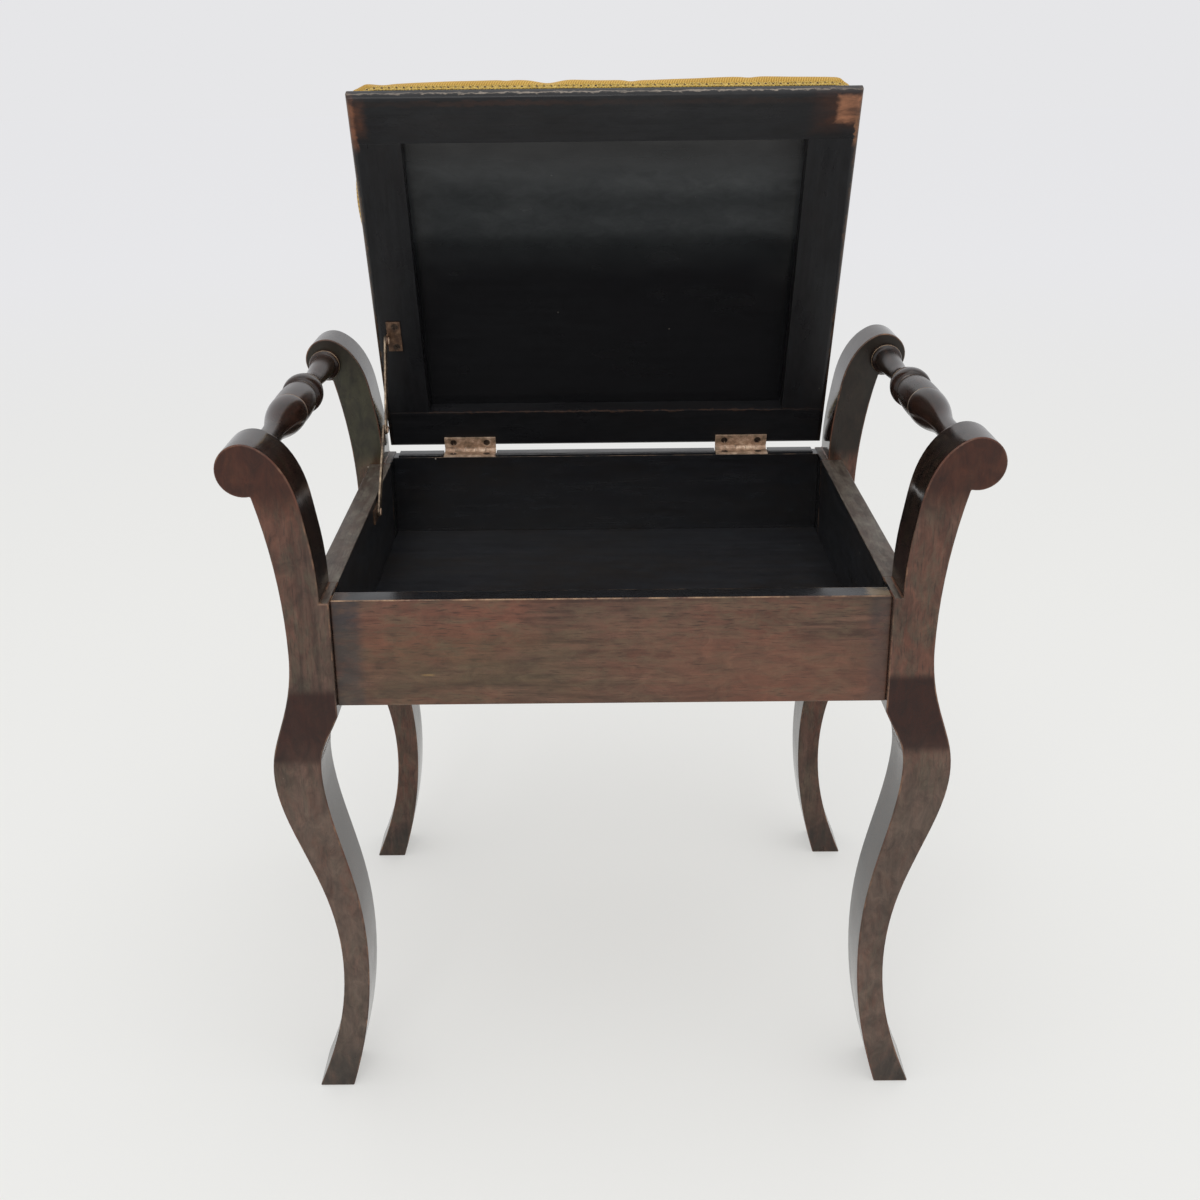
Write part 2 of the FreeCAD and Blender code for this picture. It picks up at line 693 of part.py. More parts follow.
def make_stay_arm(name, start, pivot):
    # A flat strip with round ends, drawn along +Y from its pivot and turned to meet the elbow
    body = new_body(name)
    half = "stay_wide / 2"
    block(body, f"{name}_strip", (start, f"{start} + stay_thick"), ("0", stay_arm), (f"-{half}", half))
    rod(body, f"{name}_pivot_end", "x", half, (start, "0", "0"), "stay_thick")
    rod(body, f"{name}_elbow_end", "x", half, (start, stay_arm, "0"), "stay_thick")
    rod(body, f"{name}_pivot_hole", "x", "stay_pin_radius + stay_pin_fit", (start, "0", "0"),
        "stay_thick", cut=True)
    elbow = elbow_place()
    back, up = amount(pivot[0]), amount(pivot[1])
    angle = math.degrees(math.atan2(elbow[1] - up, elbow[0] - back))
    base = Vector(0, amount(pin_back) + back, amount(pin_high) + up)
    body.Placement = Placement(base, Rotation(Vector(1, 0, 0), angle))
    return body


def make_stay():
    plate_low, plate_high = f"{lid_under} - bracket_thick", lid_under
    bracket = new_body("stay_lid_bracket")
    long_way = (f"{lid_pivot[0]} - bracket_long / 2", f"{lid_pivot[0]} + bracket_long / 2")
    ear_end = f"{ear_start} + bracket_thick"
    block(bracket, "lid_bracket_plate", (ear_start, f"{ear_start} + bracket_wide"), long_way,
          (plate_low, plate_high))
    block(bracket, "lid_bracket_ear", (ear_start, ear_end),
          (f"{lid_pivot[0]} - stay_wide / 2", f"{lid_pivot[0]} + stay_wide / 2"), (lid_pivot[1], plate_high))
    rod(bracket, "lid_bracket_eye", "x", "stay_wide / 2", (ear_start, *lid_pivot), "bracket_thick")
    rod(bracket, "lid_bracket_hole", "x", "stay_pin_radius + stay_pin_fit", (ear_start, *lid_pivot),
        "bracket_thick", cut=True)
    for number, offset in enumerate(bracket_offsets):
        spot = (f"{ear_start} + bracket_screw_in", f"{lid_pivot[0]} + {offset}", plate_low)
        screw_hole(bracket, f"lid_bracket_screw_{number}", "lid", spot, "bracket_thick")
    on_lid(bracket)

    rivet = new_body("stay_lid_rivet")
    rod(rivet, "lid_rivet_shank", "x", "stay_pin_radius", (upper_start, *lid_pivot),
        "stay_thick + stay_gap + bracket_thick")
    rod(rivet, "lid_rivet_head", "x", "stay_head_radius", (ear_end, *lid_pivot), "stay_head_high")
    on_lid(rivet)

    make_stay_arm("stay_upper_arm", upper_start, (lid_pivot_back, lid_pivot_up))
    make_stay_arm("stay_lower_arm", lower_start, box_pivot)
    elbow = new_body("stay_elbow_rivet")
    rod(elbow, "elbow_rivet_head", "x", "stay_head_radius", (f"{upper_start} + stay_thick", stay_arm, "0"),
        "stay_head_high")
    elbow.Placement = doc.getObject("stay_upper_arm").Placement

    wall = new_body("stay_box_bracket")
    span = (f"{box_pivot[0]} - bracket_long / 2", f"{box_pivot[0]} + bracket_long / 2")
    tall = (f"{box_pivot[1]} - bracket_wide / 2", f"{box_pivot[1]} + bracket_wide / 2")
    block(wall, "box_bracket_plate", (f"-{half_box}", stay_wall), span, tall)
    rod(wall, "box_bracket_hole", "x", "stay_pin_radius + stay_pin_fit", (f"-{half_box}", *box_pivot),
        "bracket_thick", cut=True)
    for number, offset in enumerate(bracket_offsets):
        spot = (stay_wall, f"{box_pivot[0]} + {offset}", box_pivot[1])
        screw_hole(wall, f"box_bracket_screw_{number}", "wall", spot, "bracket_thick")
    at(wall, "0", pin_back, pin_high)

    pivot = new_body("stay_box_rivet")
    rod(pivot, "box_rivet_shank", "x", "stay_pin_radius", (f"-{half_box}", *box_pivot),
        "bracket_thick + stay_gap + stay_thick")
    rod(pivot, "box_rivet_head", "x", "stay_head_radius", (f"{lower_start} + stay_thick", *box_pivot),
        "stay_head_high")
    at(pivot, "0", pin_back, pin_high)


make_leg("leg_front_left", -1, f"-{half_box}", front_face)
make_leg("leg_front_right", 1, half_box, front_face)
make_leg("leg_back_left", 1, f"-{half_box}", back_face)
make_leg("leg_back_right", -1, half_box, back_face)
make_long_rail("front_rail", True)
back_rail = make_long_rail("back_rail", False)
make_end_rail("left_end_rail", -1)
make_end_rail("right_end_rail", 1)
make_floor()
make_handle("handle_left", -1)
make_handle("handle_right", 1)
make_lid_rail("lid_front_rail", False)
make_lid_rail("lid_rear_rail", True)
make_lid_stile("lid_left_stile", -1)
make_lid_stile("lid_right_stile", 1)
make_lid_panel()
make_seat()
for side, place in hinge_places:
    make_leaf(f"hinge_{side}_rail_leaf", place, False)
    make_leaf(f"hinge_{side}_lid_leaf", place, True)
    make_hinge_pin(f"hinge_{side}_pin", place)
make_stay()

# Housings for the knuckles in the back rail
rail_pin = "rail_thick - pin_inset"
for side, place in hinge_places:
    block(back_rail, f"back_rail_{side}_housing",
          (f"{place} - hinge_long / 2 - hinge_clear", f"{place} + hinge_long / 2 + hinge_clear"),
          (f"{rail_pin} - barrel_radius - hinge_clear", "rail_thick"),
          ("rail_top + lid_gap / 2 - barrel_radius - hinge_clear", "rail_top"), cut=True)

doc.recompute()
for thing in doc.Objects:
    if "Invalid" in thing.State or "Error" in thing.State:
        raise RuntimeError(f"{thing.Name} did not build: {thing.State}")
for piece in pieces:
    if piece.Shape.isNull() or not piece.Shape.isValid():
        raise RuntimeError(f"{piece.Label} has no valid shape")

os.makedirs("parts", exist_ok=True)
for piece in pieces:
    piece.Shape.exportStep(f"parts/{piece.Label}.step")
    print(piece.Label, len(piece.Shape.Solids), round(piece.Shape.Volume / 1000, 2), "cm3")
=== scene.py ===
import math
import bmesh
import bpy
from mathutils import Matrix, Vector, noise


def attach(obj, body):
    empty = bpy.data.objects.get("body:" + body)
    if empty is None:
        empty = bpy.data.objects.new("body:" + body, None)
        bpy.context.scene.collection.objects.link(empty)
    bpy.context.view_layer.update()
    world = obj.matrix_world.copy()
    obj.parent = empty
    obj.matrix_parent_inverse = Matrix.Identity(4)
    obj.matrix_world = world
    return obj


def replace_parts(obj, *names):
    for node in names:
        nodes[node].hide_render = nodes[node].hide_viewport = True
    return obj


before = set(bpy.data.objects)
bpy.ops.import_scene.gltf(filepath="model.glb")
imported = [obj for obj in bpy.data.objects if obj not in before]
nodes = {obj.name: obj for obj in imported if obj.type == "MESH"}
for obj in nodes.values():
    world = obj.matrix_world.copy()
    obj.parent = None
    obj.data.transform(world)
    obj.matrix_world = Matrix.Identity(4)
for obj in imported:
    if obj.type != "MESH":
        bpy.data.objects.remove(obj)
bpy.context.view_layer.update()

scene = bpy.context.scene
mm = 0.001
print("stage: frame loaded,", len(nodes), "nodes")

# the hinge pin of the lid in mm, and how far the lid stands up from closed
lidHinge = {"pin": (0.0, 166.7, 448.8), "open": math.radians(69.5)}


def onLid(x, y, z):
    # a place in the closed lid's own frame, in mm from the hinge pin, carried to the open lid
    turned = Matrix.Rotation(-lidHinge["open"], 3, "X") @ Vector((x, y, z))
    return (turned + Vector(lidHinge["pin"])) * mm


def linear(hexColour):
    parts = [int(hexColour[i:i + 2], 16) / 255 for i in (1, 3, 5)]
    return [p / 12.92 if p <= 0.04045 else ((p + 0.055) / 1.055) ** 2.4 for p in parts] + [1.0]


def addNode(tree, kind, inputs=None, out=0, stops=(), **settings):
    # a new node with its settings; an input is a value, a hex colour or a link from another node
    node = tree.nodes.new(kind)
    for name, value in settings.items():
        setattr(node, name, value)
    for index, (place, colour) in enumerate(stops):
        marks = node.color_ramp.elements
        mark = marks[index] if index < len(marks) else marks.new(place)
        mark.position = place
        mark.color = linear(colour) if isinstance(colour, str) else (colour, colour, colour, 1)
    for socket, value in (inputs or {}).items():
        if isinstance(value, bpy.types.NodeSocket):
            tree.links.new(value, node.inputs[socket])
        else:
            isHex = isinstance(value, str) and value.startswith("#")
            node.inputs[socket].default_value = linear(value) if isHex else value
    return node.outputs if out is None else node.outputs[out]


def newMaterial(name):
    material = bpy.data.materials.new(name)
    material.use_nodes = True
    tree = material.node_tree
    return material, tree, tree.nodes["Principled BSDF"]


# Old polished wood. Sawn boards, stained and French polished: faint grain streaks and fine dark pores under
# cloudy colour and a soft gloss, arrises rubbed through to paler wood, a few flecks of paint and dust.
woodLook = {
    # size of each pattern along and across the grain in mm
    "streak": (95.0, 5.5),
    "pore": (12.0, 1.2),  # true pores are finer, drawn this coarse so that they show
    "cloud": (150.0, 65.0),
    "mottle": (26.0, 8.0),
    "ragged": (9.0, 5.0),
    "patch": (24.0, 12.0),
    "polish": (20.0, 11.0),
    "rub": (17.0, 17.0),
    "gloss": (60.0, 30.0),
    "poreDeep": 0.3,
    "raggedReach": 10.0,
    "fleckSpacing": 21.0,
    "fleckColour": "#b9b0a2",
    "smoother": 0.06,  # how far the polish is smoother or rougher than its mean
    "rougher": 0.1,
}


def makeWood(name, grain, look, stains=(), lidFrame=False, isArris=False):
    material, tree, shader = newMaterial(name)
    place = addNode(tree, "ShaderNodeTexCoord", out="Object")
    if lidFrame:  # measured in the closed lid's own frame
        pin = [c * mm for c in lidHinge["pin"]]
        place = addNode(tree, "ShaderNodeMapping", {"Vector": place, "Location": pin,
                                                    "Rotation": (-lidHinge["open"], 0, 0)},
                        vector_type="TEXTURE")

    def pattern(kind, detail, distortion=0.3, rough=0.5, out="Fac"):
        along, across = woodLook[kind]
        sizes = [1000.0 / across] * 3
        sizes["xyz".index(grain)] = 1000.0 / along
        spread = addNode(tree, "ShaderNodeMapping", {"Vector": place, "Scale": sizes})
        return addNode(tree, "ShaderNodeTexNoise", {"Vector": spread, "Scale": 1.0, "Detail": detail,
                                                    "Distortion": distortion, "Roughness": rough}, out=out)

    def over(body, mask, colour):
        return addNode(tree, "ShaderNodeMix", {0: mask, 6: body, 7: colour}, out=2, data_type="RGBA")

    dark, middle, light, warm, olive = look["tones"]
    streak = pattern("streak", 4, 0.6, 0.55)
    cloud = pattern("cloud", 3)
    mottle = pattern("mottle", 6, 0.5, 0.7)
    pores = pattern("pore", 2)
    body = addNode(tree, "ShaderNodeValToRGB", {0: streak},
                   stops=[(0.34, dark), (0.5, middle), (0.68, light)])
    cloudMask = addNode(tree, "ShaderNodeValToRGB", {0: cloud}, stops=[(0.42, 0.0), (0.64, 0.75)])
    mottleMask = addNode(tree, "ShaderNodeValToRGB", {0: mottle}, stops=[(0.44, 0.0), (0.66, 0.85)])
    poreMask = addNode(tree, "ShaderNodeValToRGB", {0: pores}, stops=[(0.3, 0.8), (0.44, 0.0)])
    body = over(over(over(body, cloudMask, warm), mottleMask, olive), poreMask, dark)

    # marks of use at their own places: each a soft or ragged box of colour
    shaken = pattern("ragged", 5, 0.0, 0.65, "Color")
    shift = addNode(tree, "ShaderNodeVectorMath", {0: shaken, 1: (0.5, 0.5, 0.5)}, operation="SUBTRACT")
    shift = addNode(tree, "ShaderNodeVectorMath", {0: shift, "Scale": woodLook["raggedReach"] * mm},
                    operation="SCALE")
    torn = addNode(tree, "ShaderNodeVectorMath", {0: place, 1: shift}, operation="ADD")
    patches = pattern("patch", 4, 0.3, 0.65)
    patchy = addNode(tree, "ShaderNodeMapRange", {"Value": patches, "From Min": 0.3, "From Max": 0.56,
                                                  "To Min": 0.3, "To Max": 1.0})
    for centre, half, soft, colour, strength, isRagged in stains:
        near = addNode(tree, "ShaderNodeMapping", {"Vector": torn if isRagged else place,
                                                   "Location": [c * mm for c in centre],
                                                   "Scale": [h * mm for h in half]}, vector_type="TEXTURE")
        near = addNode(tree, "ShaderNodeVectorMath", {0: near}, operation="ABSOLUTE")
        x, y, z = addNode(tree, "ShaderNodeSeparateXYZ", {0: near}, out=None)
        far = addNode(tree, "ShaderNodeMath", {0: x, 1: y}, operation="MAXIMUM")
        far = addNode(tree, "ShaderNodeMath", {0: far, 1: z}, operation="MAXIMUM")
        mask = addNode(tree, "ShaderNodeMapRange", {"Value": far, "From Min": 1 - soft, "From Max": 1 + soft,
                                                    "To Min": strength, "To Max": 0.0},
                       interpolation_type="SMOOTHSTEP")
        if isRagged:  # thin in places
            mask = addNode(tree, "ShaderNodeMath", {0: mask, 1: patchy}, operation="MULTIPLY")
        body = over(body, mask, colour)

    # thick and thin places in the polish show through everything
    polish = pattern("polish", 7, 0.8, 0.7)
    thin = addNode(tree, "ShaderNodeMapRange", {"Value": polish, "From Min": 0.32, "From Max": 0.68,
                                                "To Min": 1 - look["depth"], "To Max": 1 + look["depth"]})
    body = addNode(tree, "ShaderNodeVectorMath", {0: body, "Scale": thin}, operation="SCALE")

    if isArris:  # rubbed through to the bare wood in broken lengths
        rubbed = pattern("rub", 5, 0.3, 0.65)
        least = 0.58 - look["wear"] * 0.16
        rubMask = addNode(tree, "ShaderNodeValToRGB", {0: rubbed}, stops=[(least, 0.0), (0.66, 0.9)])
        body = over(body, rubMask, look["worn"])

    # one cell in four holds a fleck, each of its own size
    often = 1000.0 / woodLook["fleckSpacing"]
    spread = addNode(tree, "ShaderNodeMapping", {"Vector": place, "Scale": [often] * 3})
    cells = addNode(tree, "ShaderNodeTexVoronoi", {"Vector": spread, "Scale": 1.0}, out=None)
    lot = addNode(tree, "ShaderNodeSeparateColor", {0: cells["Color"]})
    size = addNode(tree, "ShaderNodeMapRange", {"Value": lot, "From Min": 0.75, "To Max": 0.05})
    reach = addNode(tree, "ShaderNodeMath", {0: size, 1: cells["Distance"]}, operation="SUBTRACT")
    fleck = addNode(tree, "ShaderNodeMapRange", {"Value": reach, "From Min": 0.0, "From Max": 0.012,
                                                 "To Max": look["fleck"]})
    body = over(body, fleck, woodLook["fleckColour"])
    tree.links.new(body, shader.inputs["Base Color"])

    gloss = pattern("gloss", 4, 0.2)
    shine = addNode(tree, "ShaderNodeMapRange", {"Value": gloss, "From Min": 0.3, "From Max": 0.7,
                                                 "To Min": look["rough"] - woodLook["smoother"],
                                                 "To Max": look["rough"] + woodLook["rougher"]})
    tree.links.new(shine, shader.inputs["Roughness"])
    shader.inputs["Specular IOR Level"].default_value = look["gloss"]
    bump = addNode(tree, "ShaderNodeBump", {"Height": pores, "Strength": look["pore"],
                                            "Distance": woodLook["poreDeep"] * mm})
    tree.links.new(bump, shader.inputs["Normal"])
    return material


# Mahogany, red brown with olive clouds; the sides of the legs keep their thick dark polish.
# Tones in each look: dark, middle and light grain, warm clouds, olive mottling.
mahoganyLook = {
    "tones": ("#3a261c", "#553b2e", "#67493a", "#6f402f", "#5b4a38"), "worn": "#a88768", "wear": 1.0,
    "rough": 0.3, "fleck": 1.0, "pore": 0.15, "gloss": 0.4, "depth": 0.25,
}
legLook = {
    "tones": ("#3b2b23", "#503b31", "#5c453b", "#613c2e", "#4c4336"), "worn": "#80604a", "wear": 0.5,
    "rough": 0.28, "fleck": 1.0, "pore": 0.12, "gloss": 0.35, "depth": 0.4,
}
sideLook = {
    "tones": ("#16100e", "#231915", "#2e211b", "#33211b", "#2b241c"),
    "rough": 0.14, "fleck": 0.6, "pore": 0.06, "gloss": 0.75, "depth": 0.4,
}
handleLook = {
    "tones": ("#140f0d", "#221713", "#2f2019", "#341f18", "#2a2019"),
    "rough": 0.2, "fleck": 0.8, "pore": 0.1, "gloss": 0.5, "depth": 0.4,
}
# Ebonised board: black spirit stain over close-grained wood, a soft sheen, brown where it has rubbed
blackLook = {
    "tones": ("#141416", "#1a1a1c", "#202022", "#1b191a", "#1c1d1f"),
    "rough": 0.3, "fleck": 0.5, "pore": 0.06, "gloss": 0.27, "depth": 0.15,
}
panelLook = {
    **blackLook, "tones": ("#0b0b0d", "#101012", "#151517", "#111012", "#121315"),
    "rough": 0.19, "gloss": 0.6,
}
boxLook = {
    "tones": ("#1b1b1e", "#252528", "#2d2d2f", "#241f1b", "#24272b"),
    "rough": 0.34, "fleck": 0.6, "pore": 0.1, "gloss": 0.5, "depth": 0.2,
}
railBlackLook = {
    **boxLook, "tones": ("#141416", "#1b1b1e", "#222224", "#1d1a18", "#1c1e21"), "rough": 0.15,
}
# Tops of the end rails and ledges of the posts: a painted sheen, a greyer and lighter copy of the wood on
# the faces that look up
railTopSheenLook = {
    "tones": ("#3a322c", "#51473f", "#655a51", "#4c3c32", "#6d675c"),
    "rough": 0.42, "fleck": 1.0, "pore": 0.2, "gloss": 0.5, "depth": 0.4,
}
# Bare pine of the floor's underside: sawn, never finished
rawLook = {
    "tones": ("#6b5138", "#8a6b4a", "#9d7d58", "#8f6b45", "#7a6a50"),
    "rough": 0.7, "fleck": 0.5, "pore": 0.3, "gloss": 0.3, "depth": 0.1,
}

# marks: middle, half size, softness, colour, strength, ragged or not; sizes in mm
boxBlack = ((0, 0, 408), (211.5, 185, 39.5), 0.003, "#121213", 1.0, False)
feetMark = ((0, 0, 10), (400, 400, 26), 0.6, "#252420", 0.75, True)  # scuffed
castMark = ((-250, 165, 490), (45, 60, 60), 0.4, "#45442f", 0.5, True)  # a green cast behind
legMarks = [
    ((-300, -202, 343), (240, 8, 31), 0.14, "#2b0b01", 0.9, False),  # dark bands across the front knees: a painted reflection of a dark thing in the polish
    ((300, -202, 351), (240, 8, 32), 0.14, "#270900", 0.95, False),
    ((0, -202, 215), (400, 8, 48), 0.8, "#3d241b", 0.5, True),
    ((0, -202, 566), (400, 8, 44), 0.4, "#441f0c", 0.8, False),  # redder scrolls
    ((0, -202, 566), (400, 8, 40), 0.4, "#2c0b02", 0.6, True),
    ((0, -202, 130), (400, 8, 170), 0.25, "#5d4f45", 0.65, True),  # lower front faces greyed: a painted reflection of the pale floor
    ((0, 152, 550), (400, 26, 100), 0.1, "#1d1912", 0.92, False),  # necks at the back, never cleaned
    feetMark,
    castMark,
    boxBlack,
]
sideMarks = [feetMark, castMark, boxBlack]
scrollRub = ((0, -202, 566), (400, 12, 48), 0.3, "#54291a", 0.6, True)  # redder where hands pass
# dark at both ends, lighter to the right, and a scratch
frontRailMarks = [
    ((-200, -196, 403), (11, 8, 60), 0.5, "#2c2b2f", 0.85, True),
    ((203, -196, 403), (8, 8, 60), 0.7, "#38302f", 0.7, True),
    ((-110, -196, 392), (85, 8, 26), 0.7, "#54452f", 0.5, True),
    ((120, -196, 385), (95, 8, 26), 0.7, "#6c4836", 0.5, True),
    ((-139.6, -196, 384.6), (4, 8, 0.7), 0.6, "#8f7145", 0.6, False),
]
# the ends of the front rail's top, where hands have rubbed it
frontTopMarks = [
    ((-206, -186, 448), (8, 20, 6), 0.4, "#4b3a30", 0.8, True),
    ((203, -186, 448), (10, 20, 6), 0.35, "#7a6850", 0.85, True),
]
lidMarks = [
    ((0, -370.5, 6.4), (230, 2.4, 0.9), 0.5, "#8d8276", 0.85, True),  # the front nose's pale band: rubbed wear and a painted highlight
    ((0, -364.0, 2), (214, 2.2, 2), 0.6, "#33241e", 0.45, True),
    ((-95, -364.5, 2), (60, 2.0, 4), 0.6, "#452b22", 0.2, True),
    ((-209, -351, 2), (7, 12, 6), 0.8, "#5d3b2b", 0.75, True),  # corners worn through to the wood
    ((-213, -345, 2), (3.5, 20, 6), 0.5, "#7a4f39", 0.9, True),
    ((198, -354, 2), (18, 14, 6), 0.7, "#45291d", 0.7, True),
    ((205, -356, 2), (10, 11, 6), 0.3, "#99694e", 1.0, True),
    ((213, -338, 2), (2.5, 14, 6), 0.3, "#80593f", 0.9, True),
    ((-215, -200, 6), (2.2, 165, 8), 0.5, "#54402f", 0.8, True),
    ((215, -200, 6), (2.2, 165, 8), 0.5, "#4f3a2b", 0.8, True),
    ((0, -46.1, 2.2), (171, 0.9, 1.2), 0.4, "#4f3a2f", 0.7, True),  # the opening's lower arris
]
# painted reflection of the room: grey over the half of the panel nearest the front, with streaks
panelReflectionMarks = [
    ((0, -234, 17), (190, 30, 12), 0.8, "#232526", 0.9, False),
    ((0, -268, 17), (190, 36, 12), 0.45, "#343637", 0.95, False),
    ((30, -243, 17), (130, 9, 12), 0.8, "#3b3d3e", 0.6, True),
    ((80, -280, 17), (100, 8, 12), 0.8, "#404243", 0.6, True),
    ((-60, -268, 17), (120, 7, 12), 0.8, "#2c2e2f", 0.6, True),
]
# scored lines of the turning, rubbed pale
handleMarks = [((0, y, 548), (400, half, 80), 0.4, "#b0967a", 0.8, False)
               for y, half in ((-34.8, 0.7), (14.0, 0.5), (35.6, 0.6), (124.9, 0.4), (-153.5, 0.4))]
mahogany = {grain: makeWood(f"frenchPolishedMahogany_{grain}", grain, mahoganyLook) for grain in "xy"}
frontMahogany = makeWood("frenchPolishedMahogany_front", "x", mahoganyLook, frontRailMarks)
legMahogany = makeWood("frenchPolishedMahogany_legs", "z", legLook, legMarks)
legSide = makeWood("darkPolishedMahogany_sides", "z", sideLook, sideMarks)
handleWood = makeWood("darkTurnedMahogany", "y", handleLook, handleMarks)
ebonised = {grain: makeWood(f"ebonisedBox_{grain}", grain, boxLook) for grain in "xy"}
frontRailBlack = makeWood("ebonisedRail_front", "x", railBlackLook, frontTopMarks)
backRailBlack = makeWood("ebonisedRail_back", "x", railBlackLook)
lidBlack = {grain: makeWood(f"ebonisedLid_{grain}", grain, blackLook, lidMarks, True) for grain in "xy"}
lidPanelBlack = makeWood("ebonisedLidPanel", "x", panelLook, panelReflectionMarks, True)
mahoganyArris = makeWood("rubbedMahoganyArris", "x", mahoganyLook, [boxBlack], isArris=True)
sideArris = makeWood("rubbedLegArris", "z", legLook, [scrollRub, boxBlack], isArris=True)
railTopSheen = makeWood("paintedSheenRailTop", "y", railTopSheenLook)
rawBoard = makeWood("rawPineBoard", "x", rawLook)


# Brass left unlacquered: rolled plate gone brown, brighter where hands and edges rub it
brassLook = {"patinaSpread": 7.0, "edgeWide": 0.7, "pitDeep": 0.1, "dullest": 0.15, "brightest": 0.1}


def makeBrass(name, tones, roughness, metallic):
    material, tree, shader = newMaterial(name)
    place = addNode(tree, "ShaderNodeTexCoord", out="Object")
    often = 1000.0 / brassLook["patinaSpread"]
    spread = addNode(tree, "ShaderNodeMapping", {"Vector": place, "Scale": [often] * 3})
    patina = addNode(tree, "ShaderNodeTexNoise", {"Vector": spread, "Scale": 1.0, "Detail": 5.0,
                                                  "Roughness": 0.65})
    colour = addNode(tree, "ShaderNodeValToRGB", {0: patina}, stops=list(zip((0.36, 0.5, 0.66), tones)))
    rounded = addNode(tree, "ShaderNodeBevel", {"Radius": brassLook["edgeWide"] * mm}, samples=6)
    flat = addNode(tree, "ShaderNodeNewGeometry", out="Normal")
    turn = addNode(tree, "ShaderNodeVectorMath", {0: rounded, 1: flat}, out="Value",
                   operation="DOT_PRODUCT")
    edgeMask = addNode(tree, "ShaderNodeValToRGB", {0: turn}, stops=[(0.84, 0.8), (0.98, 0.0)])
    colour = addNode(tree, "ShaderNodeMix", {0: edgeMask, 6: colour, 7: tones[2]}, out=2,
                     data_type="RGBA")
    tree.links.new(colour, shader.inputs["Base Color"])
    shader.inputs["Metallic"].default_value = metallic
    shine = addNode(tree, "ShaderNodeMapRange", {"Value": patina, "To Min": roughness + brassLook["dullest"],
                                                 "To Max": roughness - brassLook["brightest"]})
    tree.links.new(shine, shader.inputs["Roughness"])
    bump = addNode(tree, "ShaderNodeBump", {"Height": patina, "Strength": 0.2,
                                            "Distance": brassLook["pitDeep"] * mm})
    tree.links.new(bump, shader.inputs["Normal"])
    return material


hingeBrass = makeBrass("tarnishedHingeBrass", ("#84705a", "#b3937b", "#e0c8ae"), 0.45, 0.25)
bracketBrass = makeBrass("brownedBracketBrass", ("#3d2e24", "#5c4434", "#80654f"), 0.45, 0.3)
stayBrass = makeBrass("tarnishedStayBrass", ("#4e443b", "#7d6c5a", "#b39f86"), 0.4, 0.6)
screwIron = makeBrass("blackenedIronScrew", ("#2a2320", "#40352d", "#6e5d50"), 0.5, 0.6)


# Gold furnishing cloth: ribbed wool twill in mustard and straw, matt with a soft sheen
# the ribs of the twill are finer, drawn this coarse so that they show
clothLook = {"ribSpacing": 1.9, "threadSpacing": 1.3, "ribTurn": 0.42, "ribDepth": 0.3, "soilSpread": 70.0}


def makeCloth(name, tones):
    material, tree, shader = newMaterial(name)
    laid = addNode(tree, "ShaderNodeUVMap", uv_map="weave")
    counts = [1000.0 / clothLook["ribSpacing"], 1000.0 / clothLook["threadSpacing"], 1.0]
    turned = addNode(tree, "ShaderNodeMapping", {"Vector": laid, "Rotation": (0, 0, clothLook["ribTurn"])})
    spread = addNode(tree, "ShaderNodeMapping", {"Vector": turned, "Scale": counts})
    yarn = {"Vector": spread, "Scale": 0.314, "Distortion": 1.0, "Detail": 2.0, "Detail Scale": 1.5}
    ribs = addNode(tree, "ShaderNodeTexWave", yarn, out="Fac", bands_direction="X")
    threads = addNode(tree, "ShaderNodeTexWave", yarn, out="Fac", bands_direction="Y")
    crossed = addNode(tree, "ShaderNodeMapRange", {"Value": threads, "To Min": 0.65, "To Max": 1.0})
    weave = addNode(tree, "ShaderNodeMath", {0: ribs, 1: crossed}, operation="MULTIPLY")
    colour = addNode(tree, "ShaderNodeValToRGB", {0: weave}, stops=list(zip((0.05, 0.45, 0.9), tones)))
    soil = addNode(tree, "ShaderNodeTexNoise", {"Vector": laid, "Scale": 1000.0 / clothLook["soilSpread"],
                                                "Detail": 4.0})
    soilMask = addNode(tree, "ShaderNodeValToRGB", {0: soil}, stops=[(0.45, 0.0), (0.75, 0.5)])
    colour = addNode(tree, "ShaderNodeMix", {0: soilMask, 6: colour, 7: tones[0]}, out=2, data_type="RGBA")
    tree.links.new(colour, shader.inputs["Base Color"])
    shader.inputs["Roughness"].default_value = 0.85
    shader.inputs["Sheen Weight"].default_value = 0.2
    bump = addNode(tree, "ShaderNodeBump", {"Height": weave, "Strength": 0.6,
                                            "Distance": clothLook["ribDepth"] * mm})
    tree.links.new(bump, shader.inputs["Normal"])
    return material


goldCloth = makeCloth("goldWoolTwill", ("#9b7628", "#bd943b", "#d2ac51"))


# Cotton gimp braid: twisted cord, so its light and dark change every millimetre
cottonLook = {"twist": 1.4, "twistDeep": 0.3}


def makeCotton(name, tones):
    material, tree, shader = newMaterial(name)
    place = addNode(tree, "ShaderNodeTexCoord", out="Object")
    often = 1000.0 / cottonLook["twist"]
    spread = addNode(tree, "ShaderNodeMapping", {"Vector": place, "Scale": [often] * 3})
    twist = addNode(tree, "ShaderNodeTexNoise", {"Vector": spread, "Scale": 1.0, "Detail": 3.0})
    colour = addNode(tree, "ShaderNodeValToRGB", {0: twist}, stops=list(zip((0.34, 0.52, 0.7), tones)))
    tree.links.new(colour, shader.inputs["Base Color"])
    shader.inputs["Roughness"].default_value = 0.8
    shader.inputs["Sheen Weight"].default_value = 0.2
    bump = addNode(tree, "ShaderNodeBump", {"Height": twist, "Strength": 0.5,
                                            "Distance": cottonLook["twistDeep"] * mm})
    tree.links.new(bump, shader.inputs["Normal"])
    return material


gimpCotton = makeCotton("goldGimpCotton", ("#967a2c", "#bb9c44", "#d5b963"))
# dark cotton for the dots of painted shade in the braid
shadeDotCotton = makeCotton("darkDotCotton_paintedShade", ("#33240f", "#4a3617", "#6a5127"))
print("stage: materials made")


